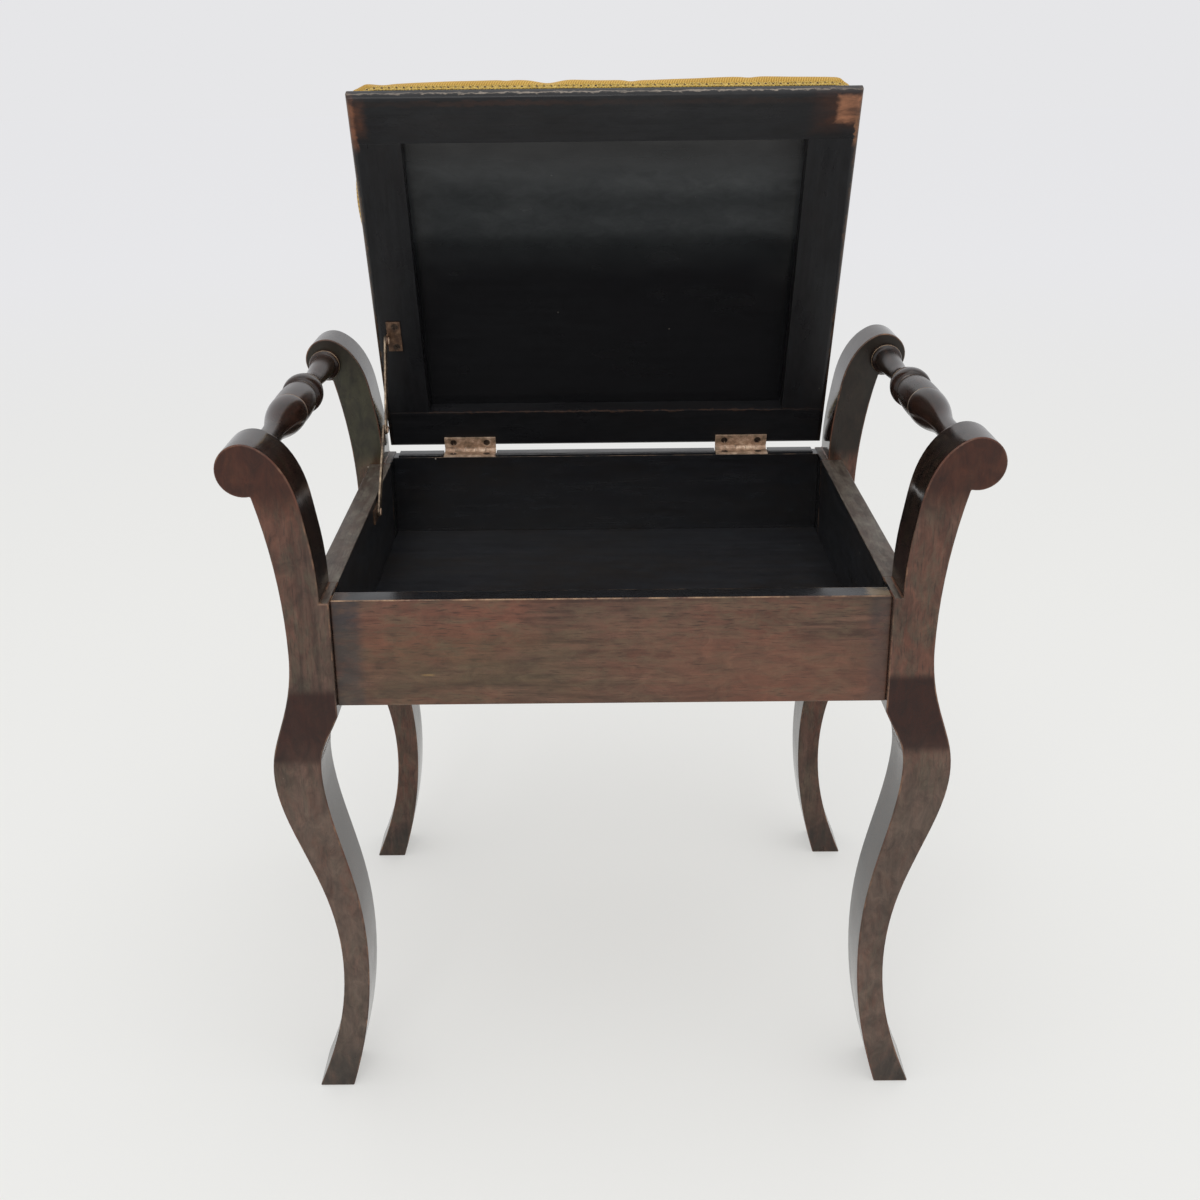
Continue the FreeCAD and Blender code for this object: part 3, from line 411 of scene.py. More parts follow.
# Pieces carried over from the solids, with their arrises eased
def keepMesh(name, mesh, body, materials=()):
    piece = bpy.data.objects.new(name, mesh)
    scene.collection.objects.link(piece)
    for material in materials:
        mesh.materials.append(material)
    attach(piece, body)
    return piece


def workObject(mesh):
    work = bpy.data.objects.new("work", mesh)
    scene.collection.objects.link(work)
    return work


def finished(work):
    # the evaluated piece as a plain mesh, with the working object removed
    shown = work.evaluated_get(bpy.context.evaluated_depsgraph_get())
    mesh = bpy.data.meshes.new_from_object(shown)
    bpy.data.objects.remove(work)
    return mesh


def easedPiece(node, body, width, materials, choose=None, arris=None, isRubbed=None, segments=3,
               limit=28.0):
    # the node's own shape with rounded arrises; these may have a material of their own
    copy = workObject(nodes[node].data.copy())
    work = bmesh.new()
    work.from_mesh(copy.data)
    bmesh.ops.remove_doubles(work, verts=work.verts, dist=0.01 * mm)
    bmesh.ops.dissolve_limit(work, angle_limit=math.radians(0.4), verts=work.verts, edges=work.edges)
    for face in work.faces:
        face.smooth = True
        face.material_index = 0
    work.to_mesh(copy.data)
    work.free()
    copy.data.materials.clear()
    for material in materials + ([arris] if arris else []):
        copy.data.materials.append(material)
    ease = copy.modifiers.new("ease", "BEVEL")
    ease.width = width * mm
    ease.segments = segments
    ease.limit_method = "ANGLE"
    ease.angle_limit = math.radians(limit)
    ease.material = len(materials) if arris else -1
    even = copy.modifiers.new("even", "WEIGHTED_NORMAL")
    even.keep_sharp = True
    even.weight = 80
    mesh = finished(copy)
    for face in mesh.polygons:
        isEased = arris and face.material_index == len(materials)
        if choose and not (isEased and (not isRubbed or isRubbed(face.normal))):
            face.material_index = choose(face.normal, face.center / mm)
    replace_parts(keepMesh(f"{node}_eased", mesh, body), node)


joinery = {
    "legEase": 1.1,
    "railEase": 0.9,
    "backEase": 0.3,
    "floorEase": 0.3,
    "lidEase": 0.3,
    "noseLimit": 50.0,
    "facing": 0.6,
    "ledge": (440.0, 452.0),  # the tops of the posts, level with the end rails
}
facing = joinery["facing"]


def legFace(way, spot):
    # polished front and back, darker sides, and a ledge with the rail top's painted sheen
    low, high = joinery["ledge"]
    if way.z > facing and low < spot.z < high:
        return 2
    return int(abs(way.y) < facing)


for leg in ("leg_front_left", "leg_front_right", "leg_back_left", "leg_back_right"):
    easedPiece(leg, "frame", joinery["legEase"], [legMahogany, legSide, railTopSheen], legFace,
               sideArris)
for rail, inward, outside, inside, ease in (("front_rail", 1, frontMahogany, frontRailBlack, "railEase"),
                                            ("back_rail", -1, mahogany["x"], backRailBlack, "backEase")):
    easedPiece(rail, "frame", joinery[ease], [outside, inside],
               lambda way, spot: int(way.y * inward > facing or way.z > facing), mahoganyArris,
               lambda way: abs(way.z) > facing / 2)
# their tops take the painted sheen
for rail, inward in (("left_end_rail", 1), ("right_end_rail", -1)):
    easedPiece(rail, "frame", joinery["railEase"], [mahogany["y"], ebonised["y"], railTopSheen],
               lambda way, spot: 2 if way.z > facing else int(way.x * inward > facing))
# thin lippings that bring the back rail's top up flush with the hinges
lipping = {
    "runs": ((-205.0, -161.0), (-108.5, 108.5), (161.0, 205.0)),
    "back": (151.2, 166.9),
    "high": (446.0, 449.3),
    "ease": 0.5,
}
for number, (left, right) in enumerate(lipping["runs"]):
    work = bmesh.new()
    bmesh.ops.create_cube(work, size=1.0)
    for vertex in work.verts:
        sides = (left, right), lipping["back"], lipping["high"]
        vertex.co = [pair[int(c > 0)] * mm for pair, c in zip(sides, vertex.co)]
    bmesh.ops.bevel(work, geom=work.edges, offset=lipping["ease"] * mm, segments=2, profile=0.5,
                    affect="EDGES")
    strip = bpy.data.meshes.new(f"backLipping_{number}")
    work.to_mesh(strip)
    work.free()
    keepMesh(f"backLipping_{number}", strip, "frame", [backRailBlack])
easedPiece("bottom_panel", "frame", joinery["floorEase"], [ebonised["x"], rawBoard],
           lambda way, spot: int(way.z < -facing))
for part, grain in (("front_rail", "x"), ("rear_rail", "x"), ("left_stile", "y"), ("right_stile", "y")):
    easedPiece(f"lid_{part}", "lid", joinery["lidEase"], [lidBlack[grain]],
               limit=joinery["noseLimit"])
easedPiece("lid_panel", "lid", joinery["lidEase"], [lidPanelBlack])
print("stage: joinery eased")

ironmongery = {"leafEase": 0.25, "pinEase": 0.3, "armEase": 0.35, "rivetEase": 0.7}
for side in ("left", "right"):
    for leaf, body in (("rail", "frame"), ("lid", "lid")):
        easedPiece(f"hinge_{side}_{leaf}_leaf", body, ironmongery["leafEase"], [hingeBrass],
                   segments=2)
    easedPiece(f"hinge_{side}_pin", "frame", ironmongery["pinEase"], [screwIron], segments=2)
for part, body, brass in (("upper_arm", "stay_upper", stayBrass), ("lower_arm", "stay_lower", stayBrass),
                          ("lid_bracket", "lid", bracketBrass), ("box_bracket", "frame", bracketBrass)):
    easedPiece(f"stay_{part}", body, ironmongery["armEase"], [brass], segments=2)
for part, body in (("lid_rivet", "lid"), ("box_rivet", "frame"), ("elbow_rivet", "stay_upper")):
    easedPiece(f"stay_{part}", body, ironmongery["rivetEase"], [hingeBrass])
print("stage: hinges and stay eased")

# Turned handles: lathe work, each spun from one profile of places along the axis and radii in mm, running
# from front to back
handleTurning = {
    "high": 0.5478,
    "out": 0.2663,
    "middle": -0.0143,
    "sides": 72,
    "creaseAngle": 32.0,
    "profile": [
        (-159.4, 0.0), (-159.4, 7.0), (-145.4, 7.0), (-145.4, 13.9), (-144.8, 14.5), (-139.8, 14.5),
        (-138.6, 14.2), (-137.3, 13.4), (-136.4, 12.4), (-135.9, 11.6), (-122, 10.6), (-110, 9.8),
        (-100, 9.2), (-90, 8.8), (-80, 8.8), (-72, 9.4), (-64, 10.7), (-56, 12.4), (-48, 14.0),
        (-40, 15.2), (-32, 15.9), (-24, 16.1), (-21.3, 15.9), (-20.8, 15.0), (-20.2, 15.0),
        (-19.7, 15.8), (-8, 16.2), (4, 16.2), (14, 15.9), (22, 15.4), (27.0, 14.6), (27.8, 14.0),
        (28.8, 14.0), (29.4, 15.2), (31, 16.6), (34, 17.4), (38, 17.7), (42, 17.5), (46, 16.7),
        (48.6, 15.7), (49.2, 14.9), (49.9, 14.9), (50.6, 15.5), (52.4, 15.2), (56, 14.1),
        (60, 12.6), (64, 11.5), (67, 10.2), (71, 8.9), (78, 8.0), (90, 8.4), (100, 9.1), (110, 9.8),
        (122, 10.6), (135.9, 11.6), (136.4, 12.4), (137.3, 13.4), (138.6, 14.2), (139.8, 14.5),
        (144.8, 14.5), (145.4, 13.9), (145.4, 7.0), (159.4, 7.0), (159.4, 0.0),
    ],
}


def makeHandle(name, side):
    h = handleTurning
    work = bmesh.new()
    rings = []
    spokes = [Vector((math.cos(a), 0, math.sin(a))) for a in
              (2 * math.pi * k / h["sides"] for k in range(h["sides"]))]
    for along, radius in h["profile"]:
        centre = Vector((side * h["out"], h["middle"] + along * mm, h["high"]))
        ways = spokes if radius else [Vector()]
        rings.append([work.verts.new(centre + way * radius * mm) for way in ways])
    for first, second in zip(rings, rings[1:]):
        for k in range(h["sides"]):
            after = (k + 1) % h["sides"]
            corners = [first[k % len(first)], first[after % len(first)], second[after % len(second)],
                       second[k % len(second)]]
            work.faces.new(list(dict.fromkeys(corners)))
    bmesh.ops.recalc_face_normals(work, faces=work.faces)
    for face in work.faces:
        face.smooth = True
    for edge in work.edges:
        edge.smooth = edge.calc_face_angle() < math.radians(h["creaseAngle"])
    mesh = bpy.data.meshes.new(name)
    work.to_mesh(mesh)
    work.free()
    return keepMesh(name, mesh, "frame", [handleWood])


for side, sign in (("left", -1), ("right", 1)):
    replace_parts(makeHandle(f"turnedHandle_{side}", sign), f"handle_{side}")
print("stage: handles turned")

# Seat pad: stuffed cloth over the lid, blown up by a cloth simulation. It is made lying flat, with its
# middle at the origin and the lid's top at zero, and then carried to the lid.
seatPad = {
    "halfWide": 215.0,
    "deep": 368.0,
    "back": 3.6,
    "lidTop": 16.8,
    "foot": 5.3,
    "corner": 24.0,
    "high": 38.0,
    "footInset": 3.6,
    "bulgeInset": 3.0,
    "shoulderInset": 9.0,
    "shoulderRise": 25.0,
    "topInset": 110.0,
    "sideSteps": 8,
    "topSteps": 10,
    "topSpread": 1.2,  # powers of the crown's curve, along and up
    "topCurve": 2.2,
    "voxel": 5.0,
    "pressure": 4.0,
    "frames": 20,
    "mostMove": 4.0,
    "heldBelow": 8.5,
    "rollAt": 15.0,  # the cloth's rolled edge: its height, half its depth, and the width it grows over
    "rollHalf": 8.0,
    "rollWide": 14.0,
    "frontRoll": 6.8,  # how far it stands out
    "sideRoll": 3.4,
    "lean": 0.9,  # further out at the right end of the front than at the left
    # dips along the front: place, half width, depth
    "dips": ((-47.0, 11.0, -3.2), (23.0, 4.0, -1.6), (122.0, 5.0, -1.2), (-82.0, 4.0, -1.0),
             (-186.0, 5.0, -1.2)),
    "overhang": (-70.0, 60.0, 11.0),  # where the left side hangs over: place, half width, reach
    "cornerFull": 13.0,  # the left front corner is stuffed out square
    "broadLumps": (9.0, 1.3),  # how many to the metre, and how high
    "fineLumps": (32.0, 0.6),
}


def padLevels(p):
    levels = []
    for step in range(p["sideSteps"]):
        f = step / p["sideSteps"]
        inset = (p["footInset"] * (1 - f) * (1 - 2 * f) + p["bulgeInset"] * 4 * f * (1 - f)
                 + p["shoulderInset"] * f * (2 * f - 1))
        levels.append((inset, p["foot"] + (p["shoulderRise"] - p["foot"]) * f))
    for step in range(p["topSteps"] + 1):
        f = step / p["topSteps"]
        inset = p["shoulderInset"] + (p["topInset"] - p["shoulderInset"]) * f ** p["topSpread"]
        rise = p["shoulderRise"] + (p["high"] - p["shoulderRise"]) * (1 - (1 - f) ** p["topCurve"])
        levels.append((inset, rise))
    return levels


def roundedOutline(inset, steps=8):
    p = seatPad
    radius = p["corner"] - inset
    points = []
    for cornerX, cornerY, start in ((1, -1, -90), (1, 1, 0), (-1, 1, 90), (-1, -1, 180)):
        for k in range(steps + 1):
            a = math.radians(start + 90 * k / steps)
            points.append((cornerX * (p["halfWide"] - p["corner"]) + radius * math.cos(a),
                           cornerY * (p["deep"] / 2 - p["corner"]) + radius * math.sin(a)))
    return points


def padMesh(p):
    work = bmesh.new()
    rings = []
    for inset, rise in padLevels(p):
        rings.append([work.verts.new((x * mm, y * mm, rise * mm)) for x, y in roundedOutline(inset)])
    for first, second in zip(rings, rings[1:]):
        for k in range(len(first)):
            after = (k + 1) % len(first)
            work.faces.new((first[k], first[after], second[after], second[k]))
    work.faces.new(list(reversed(rings[0])))
    work.faces.new(rings[-1])
    bmesh.ops.recalc_face_normals(work, faces=work.faces)
    mesh = bpy.data.meshes.new("padStart")
    work.to_mesh(mesh)
    work.free()
    return mesh


def blowUp(piece, p):
    # cloth under pressure, held along its foot, with no point moving further than allowed
    start = [v.co.copy() for v in piece.data.vertices]
    held = piece.vertex_groups.new(name="held")
    held.add([v.index for v in piece.data.vertices if v.co.z < p["heldBelow"] * mm], 1.0, "REPLACE")
    cloth = piece.modifiers.new("cloth", "CLOTH")
    cloth.settings.vertex_group_mass = "held"
    cloth.settings.use_pressure = True
    cloth.settings.uniform_pressure_force = p["pressure"]
    cloth.settings.effector_weights.gravity = 0.0
    cloth.point_cache.frame_start = 1
    cloth.point_cache.frame_end = p["frames"]
    for number in range(1, p["frames"] + 1):
        scene.frame_set(number)
    shown = piece.evaluated_get(bpy.context.evaluated_depsgraph_get())
    moves = [moved.co - first for moved, first in zip(shown.data.vertices, start)]
    print("pad moved at most", round(max(move.length for move in moves) / mm, 1), "mm")
    piece.modifiers.remove(cloth)
    for vertex, move, first in zip(piece.data.vertices, moves, start):
        vertex.co = first + move * min(1.0, p["mostMove"] * mm / max(move.length, 1e-9))
    scene.frame_set(1)


def settle(mesh, p):
    # stuffing gone lumpy under years of use, and the cloth rolled over it along the edges
    hangAt, hangHalf, hangReach = p["overhang"]
    for vertex in mesh.vertices:
        x, y, z = vertex.co / mm
        free = min(1.0, max(0.0, (z - p["foot"]) / p["foot"]))
        kinds = (p["broadLumps"], p["fineLumps"])
        lumps = sum(noise.noise(vertex.co * often) * high for often, high in kinds)
        overX = max(0.0, abs(x) - p["halfWide"] + p["corner"])
        overY = max(0.0, abs(y) - p["deep"] / 2 + p["corner"])
        reach = math.hypot(overX, overY)
        if reach:
            frontShare = overY / reach if y < 0 else 0.0
            leftShare = overX / reach if x < 0 else 0.0
            front = p["frontRoll"] + p["lean"] * x / p["halfWide"]
            front += sum(deep * math.exp(-((x - at) / half) ** 2) for at, half, deep in p["dips"])
            roll = p["sideRoll"] + (front - p["sideRoll"]) * frontShare + lumps
            roll += leftShare * hangReach * math.exp(-((y - hangAt) / hangHalf) ** 2)
            share = free * math.exp(-((z - p["rollAt"]) / p["rollHalf"]) ** 2)
            share *= min(1.0, reach / p["rollWide"]) ** 2
            roll *= share
            vertex.co.x += math.copysign(roll * overX / reach, x) * mm
            vertex.co.x -= leftShare * frontShare * p["cornerFull"] * share * mm
            vertex.co.y += math.copysign(roll * overY / reach, y) * mm
        vertex.co.z = max(p["foot"] * mm, vertex.co.z + lumps * free * mm)


def layWeave(mesh, p):
    # flat pattern of the cloth: what runs down the sides is laid out beyond the edge
    layer = mesh.uv_layers.new(name="weave")
    for loop in mesh.loops:
        spot = mesh.vertices[loop.vertex_index].co / mm
        dropX = max(0.0, abs(spot.x) - (p["halfWide"] - p["corner"]))
        dropY = max(0.0, abs(spot.y) - (p["deep"] / 2 - p["corner"]))
        drop = max(0.0, p["shoulderRise"] - spot.z)
        length = math.hypot(dropX, dropY) or 1.0
        u = spot.x + math.copysign(drop * dropX / length, spot.x)
        v = spot.y + math.copysign(drop * dropY / length, spot.y)
        layer.data[loop.index].uv = (u * mm, v * mm)


def carryToLid(mesh):
    for vertex in mesh.vertices:
        x, y, z = vertex.co / mm
        vertex.co = onLid(x, y - seatPad["back"] - seatPad["deep"] / 2, z + seatPad["lidTop"])
    mesh.update()


def makePad():
    p = seatPad
    pad = workObject(padMesh(p))
    remesh = pad.modifiers.new("voxels", "REMESH")
    remesh.mode = "VOXEL"
    remesh.voxel_size = p["voxel"] * mm
    pad = workObject(finished(pad))
    blowUp(pad, p)
    settle(pad.data, p)
    smooth = pad.modifiers.new("smooth", "SUBSURF")
    smooth.levels = 1
    smooth.render_levels = 1
    mesh = finished(pad)
    for face in mesh.polygons:
        face.use_smooth = True
    layWeave(mesh, p)
    carryToLid(mesh)
    piece = keepMesh("seatPadCloth", mesh, "lid", [goldCloth])
    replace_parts(piece, "seat_cover", "seat_filling")


makePad()
print("stage: seat pad stuffed")


# Repeats by geometry nodes
def newTree(name, inputs):
    tree = bpy.data.node_groups.new(name, "GeometryNodeTree")
    tree.interface.new_socket("Geometry", in_out="INPUT", socket_type="NodeSocketGeometry")
    sockets = {}
    for label, value in inputs.items():
        kind = {int: "NodeSocketInt", float: "NodeSocketFloat"}.get(type(value), "NodeSocketMaterial")
        socket = tree.interface.new_socket(label, in_out="INPUT", socket_type=kind)
        sockets[label] = socket.identifier
    tree.interface.new_socket("Geometry", in_out="OUTPUT", socket_type="NodeSocketGeometry")
    start = addNode(tree, "NodeGroupInput", out=None)
    return tree, sockets, start, tree.nodes.new("NodeGroupOutput").inputs


def growPiece(name, mesh, makeTree, inputs, body, carry=None):
    tree, sockets = makeTree(inputs)
    work = workObject(mesh)
    grow = work.modifiers.new("grow", "NODES")
    grow.node_group = tree
    for label, value in inputs.items():
        grow[sockets[label]] = value
    grown = finished(work)
    if carry:
        carry(grown)
    keepMesh(name, grown, body)


# Slotted wood screws: countersunk heads, each slot stopped at its own angle
screws = {
    "hingeSpread": 33.0,
    "hingeBack": 9.8,
    "hingeMiddle": 134.75,
    "proud": 0.1,
    "staySpread": 11.0,
    "stayBox": (-208.4, 30.7, 434.4),
    "stayLid": (-196.2, -135.7, 0.2),
    "sides": 28,
    "slotLong": 2.4,  # the slot's cutter against the head's radius, so that it runs right across
}
screwInputs = {"Head Radius": 3.3 * mm, "Head High": 1.2 * mm, "Slot Wide": 0.8 * mm, "Slot Deep": 0.9 * mm,
               "Seed": 5, "Iron": screwIron}


def screwTree(inputs):
    tree, sockets, start, end = newTree("slottedScrews", inputs)
    head = addNode(tree, "GeometryNodeMeshCylinder", {"Vertices": screws["sides"],
                                                      "Radius": start["Head Radius"],
                                                      "Depth": start["Head High"]})
    half = addNode(tree, "ShaderNodeMath", {0: start["Head High"], 1: -0.5}, operation="MULTIPLY")
    sunk = addNode(tree, "ShaderNodeCombineXYZ", {"Z": half})
    seated = addNode(tree, "GeometryNodeTransform", {"Geometry": head, "Translation": sunk})
    long = addNode(tree, "ShaderNodeMath", {0: start["Head Radius"], 1: screws["slotLong"]},
                   operation="MULTIPLY")
    deep = addNode(tree, "ShaderNodeMath", {0: start["Slot Deep"], 1: 2.0}, operation="MULTIPLY")
    size = addNode(tree, "ShaderNodeCombineXYZ", {"X": long, "Y": start["Slot Wide"], "Z": deep})
    slot = addNode(tree, "GeometryNodeMeshCube", {"Size": size})
    cut = addNode(tree, "GeometryNodeMeshBoolean", {"Mesh 1": seated, "Mesh 2": slot},
                  operation="DIFFERENCE")
    way = addNode(tree, "GeometryNodeInputNamedAttribute", {"Name": "facing"}, data_type="FLOAT_VECTOR")
    aim = addNode(tree, "FunctionNodeAlignRotationToVector", {"Vector": way}, axis="Z")
    turn = addNode(tree, "FunctionNodeRandomValue", {2: 0.0, 3: math.pi, "Seed": start["Seed"]}, out=1,
                   data_type="FLOAT")
    spin = addNode(tree, "ShaderNodeCombineXYZ", {"Z": turn})
    stopped = addNode(tree, "FunctionNodeRotateRotation", {"Rotation": aim, "Rotate By": spin},
                      rotation_space="LOCAL")
    placed = addNode(tree, "GeometryNodeInstanceOnPoints", {"Points": start["Geometry"], "Instance": cut,
                                                            "Rotation": stopped})
    real = addNode(tree, "GeometryNodeRealizeInstances", {"Geometry": placed})
    painted = addNode(tree, "GeometryNodeSetMaterial", {"Geometry": real, "Material": start["Iron"]})
    tree.links.new(painted, end["Geometry"])
    return tree, sockets


def spotMesh(name, spots):
    mesh = bpy.data.meshes.new(name)
    mesh.from_pydata([place for place, way in spots], [], [])
    ways = mesh.attributes.new("facing", "FLOAT_VECTOR", "POINT")
    for item, (place, way) in zip(ways.data, spots):
        item.vector = way
    return mesh


down = (onLid(0, 0, -1) - onLid(0, 0, 0)).normalized()
hingeXs = [side * screws["hingeMiddle"] + end * screws["hingeSpread"] / 2
           for side in (-1, 1) for end in (-1, 1)]
pinBack, pinHigh = lidHinge["pin"][1:]
hingeBack = pinBack - screws["hingeBack"]
hingeHigh = pinHigh - screws["proud"]
frameSpots = [(Vector((x, hingeBack, hingeHigh)) * mm, Vector((0, 0, 1))) for x in hingeXs]
lidSpots = [(onLid(x, -screws["hingeBack"], screws["proud"]), down) for x in hingeXs]
for end in (-screws["staySpread"], screws["staySpread"]):
    frameSpots.append(((Vector(screws["stayBox"]) + Vector((0, end, 0))) * mm, Vector((1, 0, 0))))
    stayX, stayBack, stayHigh = screws["stayLid"]
    lidSpots.append((onLid(stayX, stayBack + end, stayHigh), down))
for name, spots, body in (("frameScrews", frameSpots, "frame"), ("lidScrews", lidSpots, "lid")):
    growPiece(name, spotMesh(name, spots), screwTree, screwInputs, body)
print("stage: screws driven")

# Gimp braid round the foot of the pad: a flat band with a cord looped along both edges, and a row of
# dark dots of painted shade where the gaps between the loops fall dark
gimp = {"inset": 2.4, "rise": 3.4, "loopSteps": 9, "cordSteps": 5, "smallest": 0.85, "largest": 1.12}
gimpInputs = {
    "Band Wide": 5.6 * mm,
    "Band Thick": 2.2 * mm,
    "Edge Round": 0.6 * mm,
    "Loop Spacing": 3.1 * mm,
    "Loop Radius": 1.2 * mm,
    "Cord Radius": 0.5 * mm,
    "Loop Offset": 2.4 * mm,
    "Shade Dot Spacing": 6.2 * mm,
    "Shade Dot Radius": 1.0 * mm,
    "Seed": 3,
    "Braid": gimpCotton,
    "Shade Dot Cotton": shadeDotCotton,
}


def gimpTree(inputs):
    tree, sockets, start, end = newTree("gimpBraid", inputs)
    path = addNode(tree, "GeometryNodeMeshToCurve", {"Mesh": start["Geometry"]})
    path = addNode(tree, "GeometryNodeSetCurveNormal", {"Curve": path}, mode="Z_UP")
    section = addNode(tree, "GeometryNodeCurvePrimitiveQuadrilateral", {"Width": start["Band Thick"],
                                                                        "Height": start["Band Wide"]})
    section = addNode(tree, "GeometryNodeFilletCurve", {"Curve": section, "Radius": start["Edge Round"]})
    band = addNode(tree, "GeometryNodeCurveToMesh", {"Curve": path, "Profile Curve": section})
    ring = addNode(tree, "GeometryNodeCurvePrimitiveCircle", {"Resolution": gimp["loopSteps"],
                                                              "Radius": start["Loop Radius"]})
    cord = addNode(tree, "GeometryNodeCurvePrimitiveCircle", {"Resolution": gimp["cordSteps"],
                                                              "Radius": start["Cord Radius"]})
    loop = addNode(tree, "GeometryNodeCurveToMesh", {"Curve": ring, "Profile Curve": cord})
    loop = addNode(tree, "GeometryNodeTransform", {"Geometry": loop, "Rotation": (0, math.pi / 2, 0)})
    outer = addNode(tree, "ShaderNodeMath", {0: start["Band Thick"], 1: 0.5}, operation="MULTIPLY")
    out = addNode(tree, "ShaderNodeCombineXYZ", {"X": outer})
    joined = addNode(tree, "GeometryNodeJoinGeometry", {"Geometry": band}, out=None)[0]
    for side in (-1.0, 1.0):
        offset = addNode(tree, "ShaderNodeMath", {0: start["Loop Offset"], 1: side}, operation="MULTIPLY")
        aside = addNode(tree, "ShaderNodeCombineXYZ", {"Z": offset})
        row = addNode(tree, "GeometryNodeTransform", {"Geometry": path, "Translation": aside})
        points = addNode(tree, "GeometryNodeCurveToPoints", {"Curve": row, "Length": start["Loop Spacing"]},
                         out=None, mode="LENGTH")
        uneven = addNode(tree, "FunctionNodeRandomValue", {2: gimp["smallest"], 3: gimp["largest"],
                                                           "Seed": start["Seed"]}, out=1, data_type="FLOAT")
        loops = addNode(tree, "GeometryNodeInstanceOnPoints", {"Points": points["Points"], "Instance": loop,
                                                               "Rotation": points["Rotation"],
                                                               "Scale": uneven})
        loops = addNode(tree, "GeometryNodeTranslateInstances", {"Instances": loops, "Translation": out})
        tree.links.new(loops, joined.node.inputs["Geometry"])
    real = addNode(tree, "GeometryNodeRealizeInstances", {"Geometry": joined})
    braid = addNode(tree, "GeometryNodeSetMaterial", {"Geometry": real, "Material": start["Braid"]})
    # dark dots on the band: painted shade standing for the gaps between the loops
    points = addNode(tree, "GeometryNodeCurveToPoints", {"Curve": path, "Length": start["Shade Dot Spacing"]},
                     out=None, mode="LENGTH")
    shadeDot = addNode(tree, "GeometryNodeMeshIcoSphere", {"Radius": start["Shade Dot Radius"], "Subdivisions": 2})
    shadeDots = addNode(tree, "GeometryNodeInstanceOnPoints", {"Points": points["Points"], "Instance": shadeDot,
                                                           "Rotation": points["Rotation"]})
    shadeDots = addNode(tree, "GeometryNodeTranslateInstances", {"Instances": shadeDots, "Translation": out})
    real = addNode(tree, "GeometryNodeRealizeInstances", {"Geometry": shadeDots})
    shadeDotsPainted = addNode(tree, "GeometryNodeSetMaterial", {"Geometry": real, "Material": start["Shade Dot Cotton"]})
    whole = addNode(tree, "GeometryNodeJoinGeometry", {"Geometry": braid})
    tree.links.new(shadeDotsPainted, whole.node.inputs["Geometry"])
    smooth = addNode(tree, "GeometryNodeSetShadeSmooth", {"Geometry": whole})
    tree.links.new(smooth, end["Geometry"])
    return tree, sockets


def gimpPath():
    spots = [(x * mm, y * mm, gimp["rise"] * mm) for x, y in roundedOutline(gimp["inset"])]
    mesh = bpy.data.meshes.new("gimpPath")
    mesh.from_pydata(spots, [(k, (k + 1) % len(spots)) for k in range(len(spots))], [])
    return mesh


growPiece("gimpBraid", gimpPath(), gimpTree, gimpInputs, "lid", carryToLid)
print("stage: gimp sewn")

# Floor, light and camera
studio = {
    "floorHalf": 12.0,
    "floorDrop": 0.3,  # mm under the feet
    "floorColour": "#efefec",
    "nearGlow": "#eaeae8",
    "farGlow": "#f1f1f7",
    "glowFrom": 0.9,
    "glowTo": 4.5,
    "glowShare": 0.5,
    "skyColour": "#f4f4f5",
    "skyLight": 0.9,
    "backdrop": "#e6e6e8",
    "keyPower": 12.0,
    "windowPower": 14.0,
    "aim": (0, 0, 0.4),
}


def raysSeen(tree):
    # 1 for what the camera sees, straight or in a reflection
    rays = addNode(tree, "ShaderNodeLightPath", out=None)
    seen = addNode(tree, "ShaderNodeMath", {0: rays["Is Camera Ray"], 1: rays["Is Glossy Ray"]},
                   operation="MAXIMUM")
    return addNode(tree, "ShaderNodeMath", {0: seen, 1: rays["Is Transmission Ray"]}, operation="MAXIMUM")


half = studio["floorHalf"]
floorCorners = [(-half, -half, 0), (half, -half, 0), (half, half, 0), (-half, half, 0)]
floorMesh = bpy.data.meshes.new("floor")
floorMesh.from_pydata(floorCorners, [], [(0, 1, 2, 3)])
floor = bpy.data.objects.new("floor", floorMesh)
floor.location.z = -studio["floorDrop"] * mm
scene.collection.objects.link(floor)
floorPaint, floorTree, floorShader = newMaterial("paleStudioFloor")
floorShader.inputs["Base Color"].default_value = linear(studio["floorColour"])
floorShader.inputs["Roughness"].default_value = 0.8
floorShader.inputs["Specular IOR Level"].default_value = 0.0
# the far floor takes the backdrop's colour, so that no horizon shows
spread = addNode(floorTree, "ShaderNodeTexCoord", out="Object")
away = addNode(floorTree, "ShaderNodeVectorMath", {0: spread}, out="Value", operation="LENGTH")
far = addNode(floorTree, "ShaderNodeMapRange", {"Value": away, "From Min": studio["glowFrom"],
                                                "From Max": studio["glowTo"]},
              interpolation_type="SMOOTHSTEP")
hue = addNode(floorTree, "ShaderNodeMix", {0: far, 6: studio["nearGlow"], 7: studio["farGlow"]}, out=2,
              data_type="RGBA")
glow = addNode(floorTree, "ShaderNodeEmission", {"Color": hue, "Strength": 1.0})
share = addNode(floorTree, "ShaderNodeMath", {0: raysSeen(floorTree), 1: studio["glowShare"]},
                operation="MULTIPLY")
lit = addNode(floorTree, "ShaderNodeMixShader", {0: share, 1: floorShader.outputs[0], 2: glow})
floorTree.links.new(lit, floorTree.nodes["Material Output"].inputs["Surface"])
floorMesh.materials.append(floorPaint)

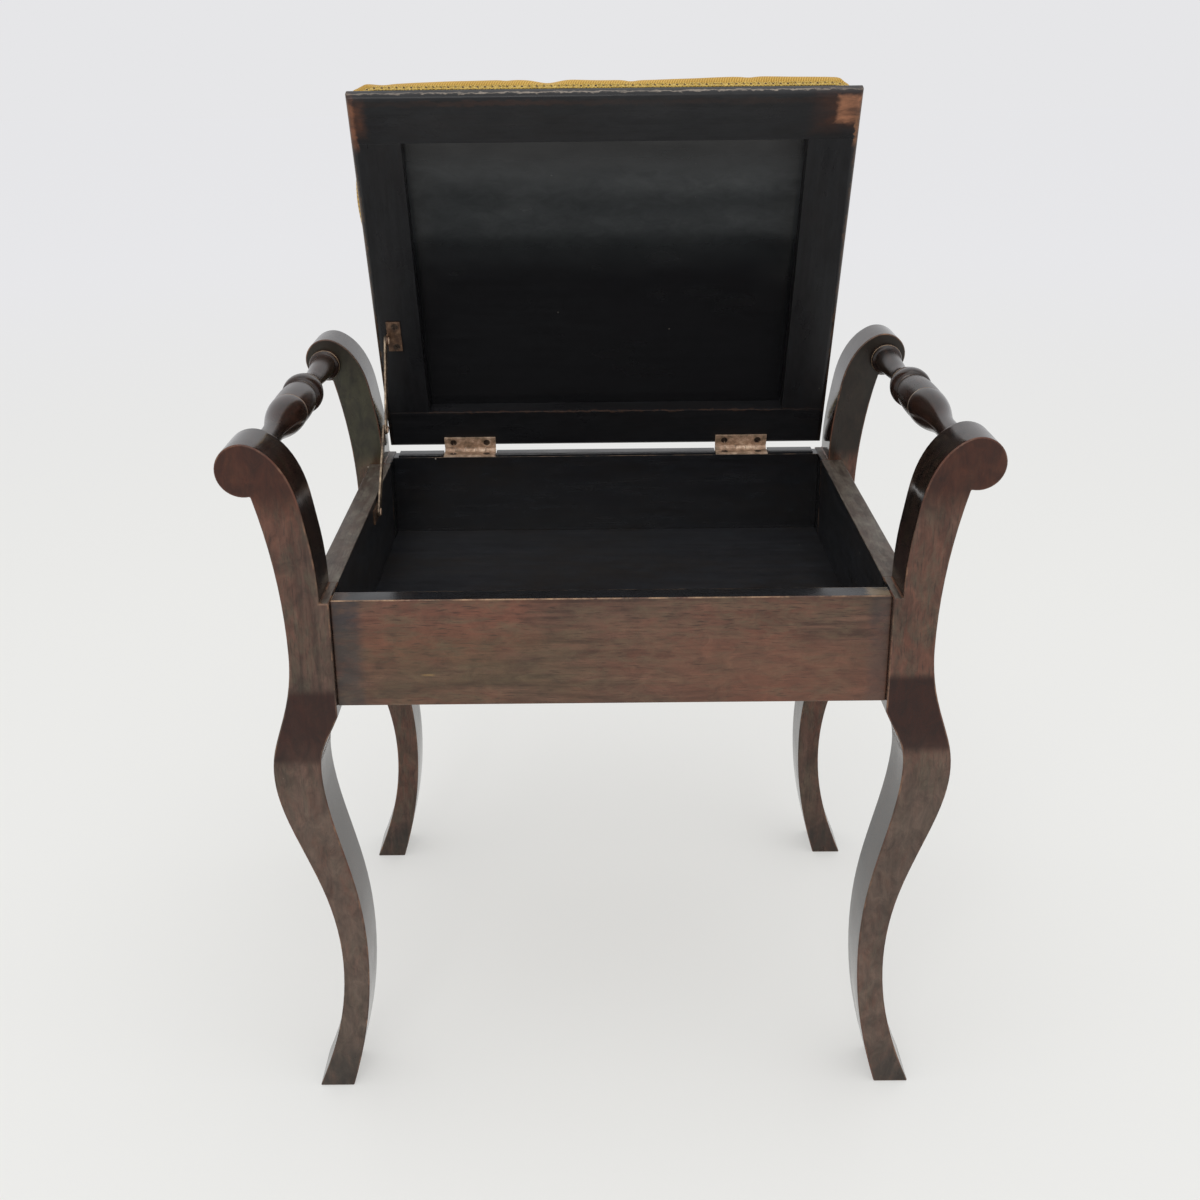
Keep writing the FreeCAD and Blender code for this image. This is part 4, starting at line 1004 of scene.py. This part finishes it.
# soft even light from all round, with a pale backdrop where the camera or a reflection sees it
world = bpy.data.worlds.new("studio")
world.use_nodes = True
sky = world.node_tree
light = addNode(sky, "ShaderNodeBackground", {"Color": studio["skyColour"], "Strength": studio["skyLight"]})
seen = addNode(sky, "ShaderNodeBackground", {"Color": studio["backdrop"], "Strength": 1.0})
both = addNode(sky, "ShaderNodeMixShader", {0: raysSeen(sky), 1: light, 2: seen})
sky.links.new(both, sky.nodes["World Output"].inputs["Surface"])
scene.world = world


def softbox(name, place, target, size, power):
    lamp = bpy.data.lights.new(name, "AREA")
    lamp.shape = "RECTANGLE"
    lamp.size, lamp.size_y = size
    lamp.energy = power
    box = bpy.data.objects.new(name, lamp)
    box.location = place
    box.rotation_euler = (Vector(target) - Vector(place)).to_track_quat("-Z", "Y").to_euler()
    scene.collection.objects.link(box)


softbox("overheadSoftbox", (0.2, -0.3, 2.4), studio["aim"], (2.2, 2.2), studio["keyPower"])
softbox("windowSoftbox", (-0.5, -2.4, 2.3), studio["aim"], (1.3, 0.8), studio["windowPower"])

shot = {
    "place": (-0.01134, -1.11942, 0.85646),
    "yaw": -0.0052,
    "pitch": 0.3327,
    "roll": -0.0117,
    "focal": 1348.48,  # focal length, width and middle of the picture in pixels
    "frame": 1200.0,
    "middle": (587.81, 484.06),
    "sensor": 36.0,
    "nearest": 0.05,
}
ahead = Vector((math.sin(shot["yaw"]), math.cos(shot["yaw"]), 0))
level = Vector((math.cos(shot["yaw"]), -math.sin(shot["yaw"]), 0))
upright = Vector((0, 0, 1))
look = ahead * math.cos(shot["pitch"]) - upright * math.sin(shot["pitch"])
top = upright * math.cos(shot["pitch"]) + ahead * math.sin(shot["pitch"])
across = level * math.cos(shot["roll"]) + top * math.sin(shot["roll"])
rise = top * math.cos(shot["roll"]) - level * math.sin(shot["roll"])
lens = bpy.data.cameras.new("photoCamera")
lens.sensor_width = shot["sensor"]
lens.lens = shot["sensor"] * shot["focal"] / shot["frame"]
lens.shift_x = (shot["frame"] / 2 - shot["middle"][0]) / shot["frame"]
lens.shift_y = (shot["middle"][1] - shot["frame"] / 2) / shot["frame"]
lens.clip_start = shot["nearest"]
camera = bpy.data.objects.new("photoCamera", lens)
camera.matrix_world = Matrix((across, rise, -look)).transposed().to_4x4()
camera.location = shot["place"]
scene.collection.objects.link(camera)
scene.camera = camera
scene.view_settings.view_transform = "Standard"

print("stage: scene ready")
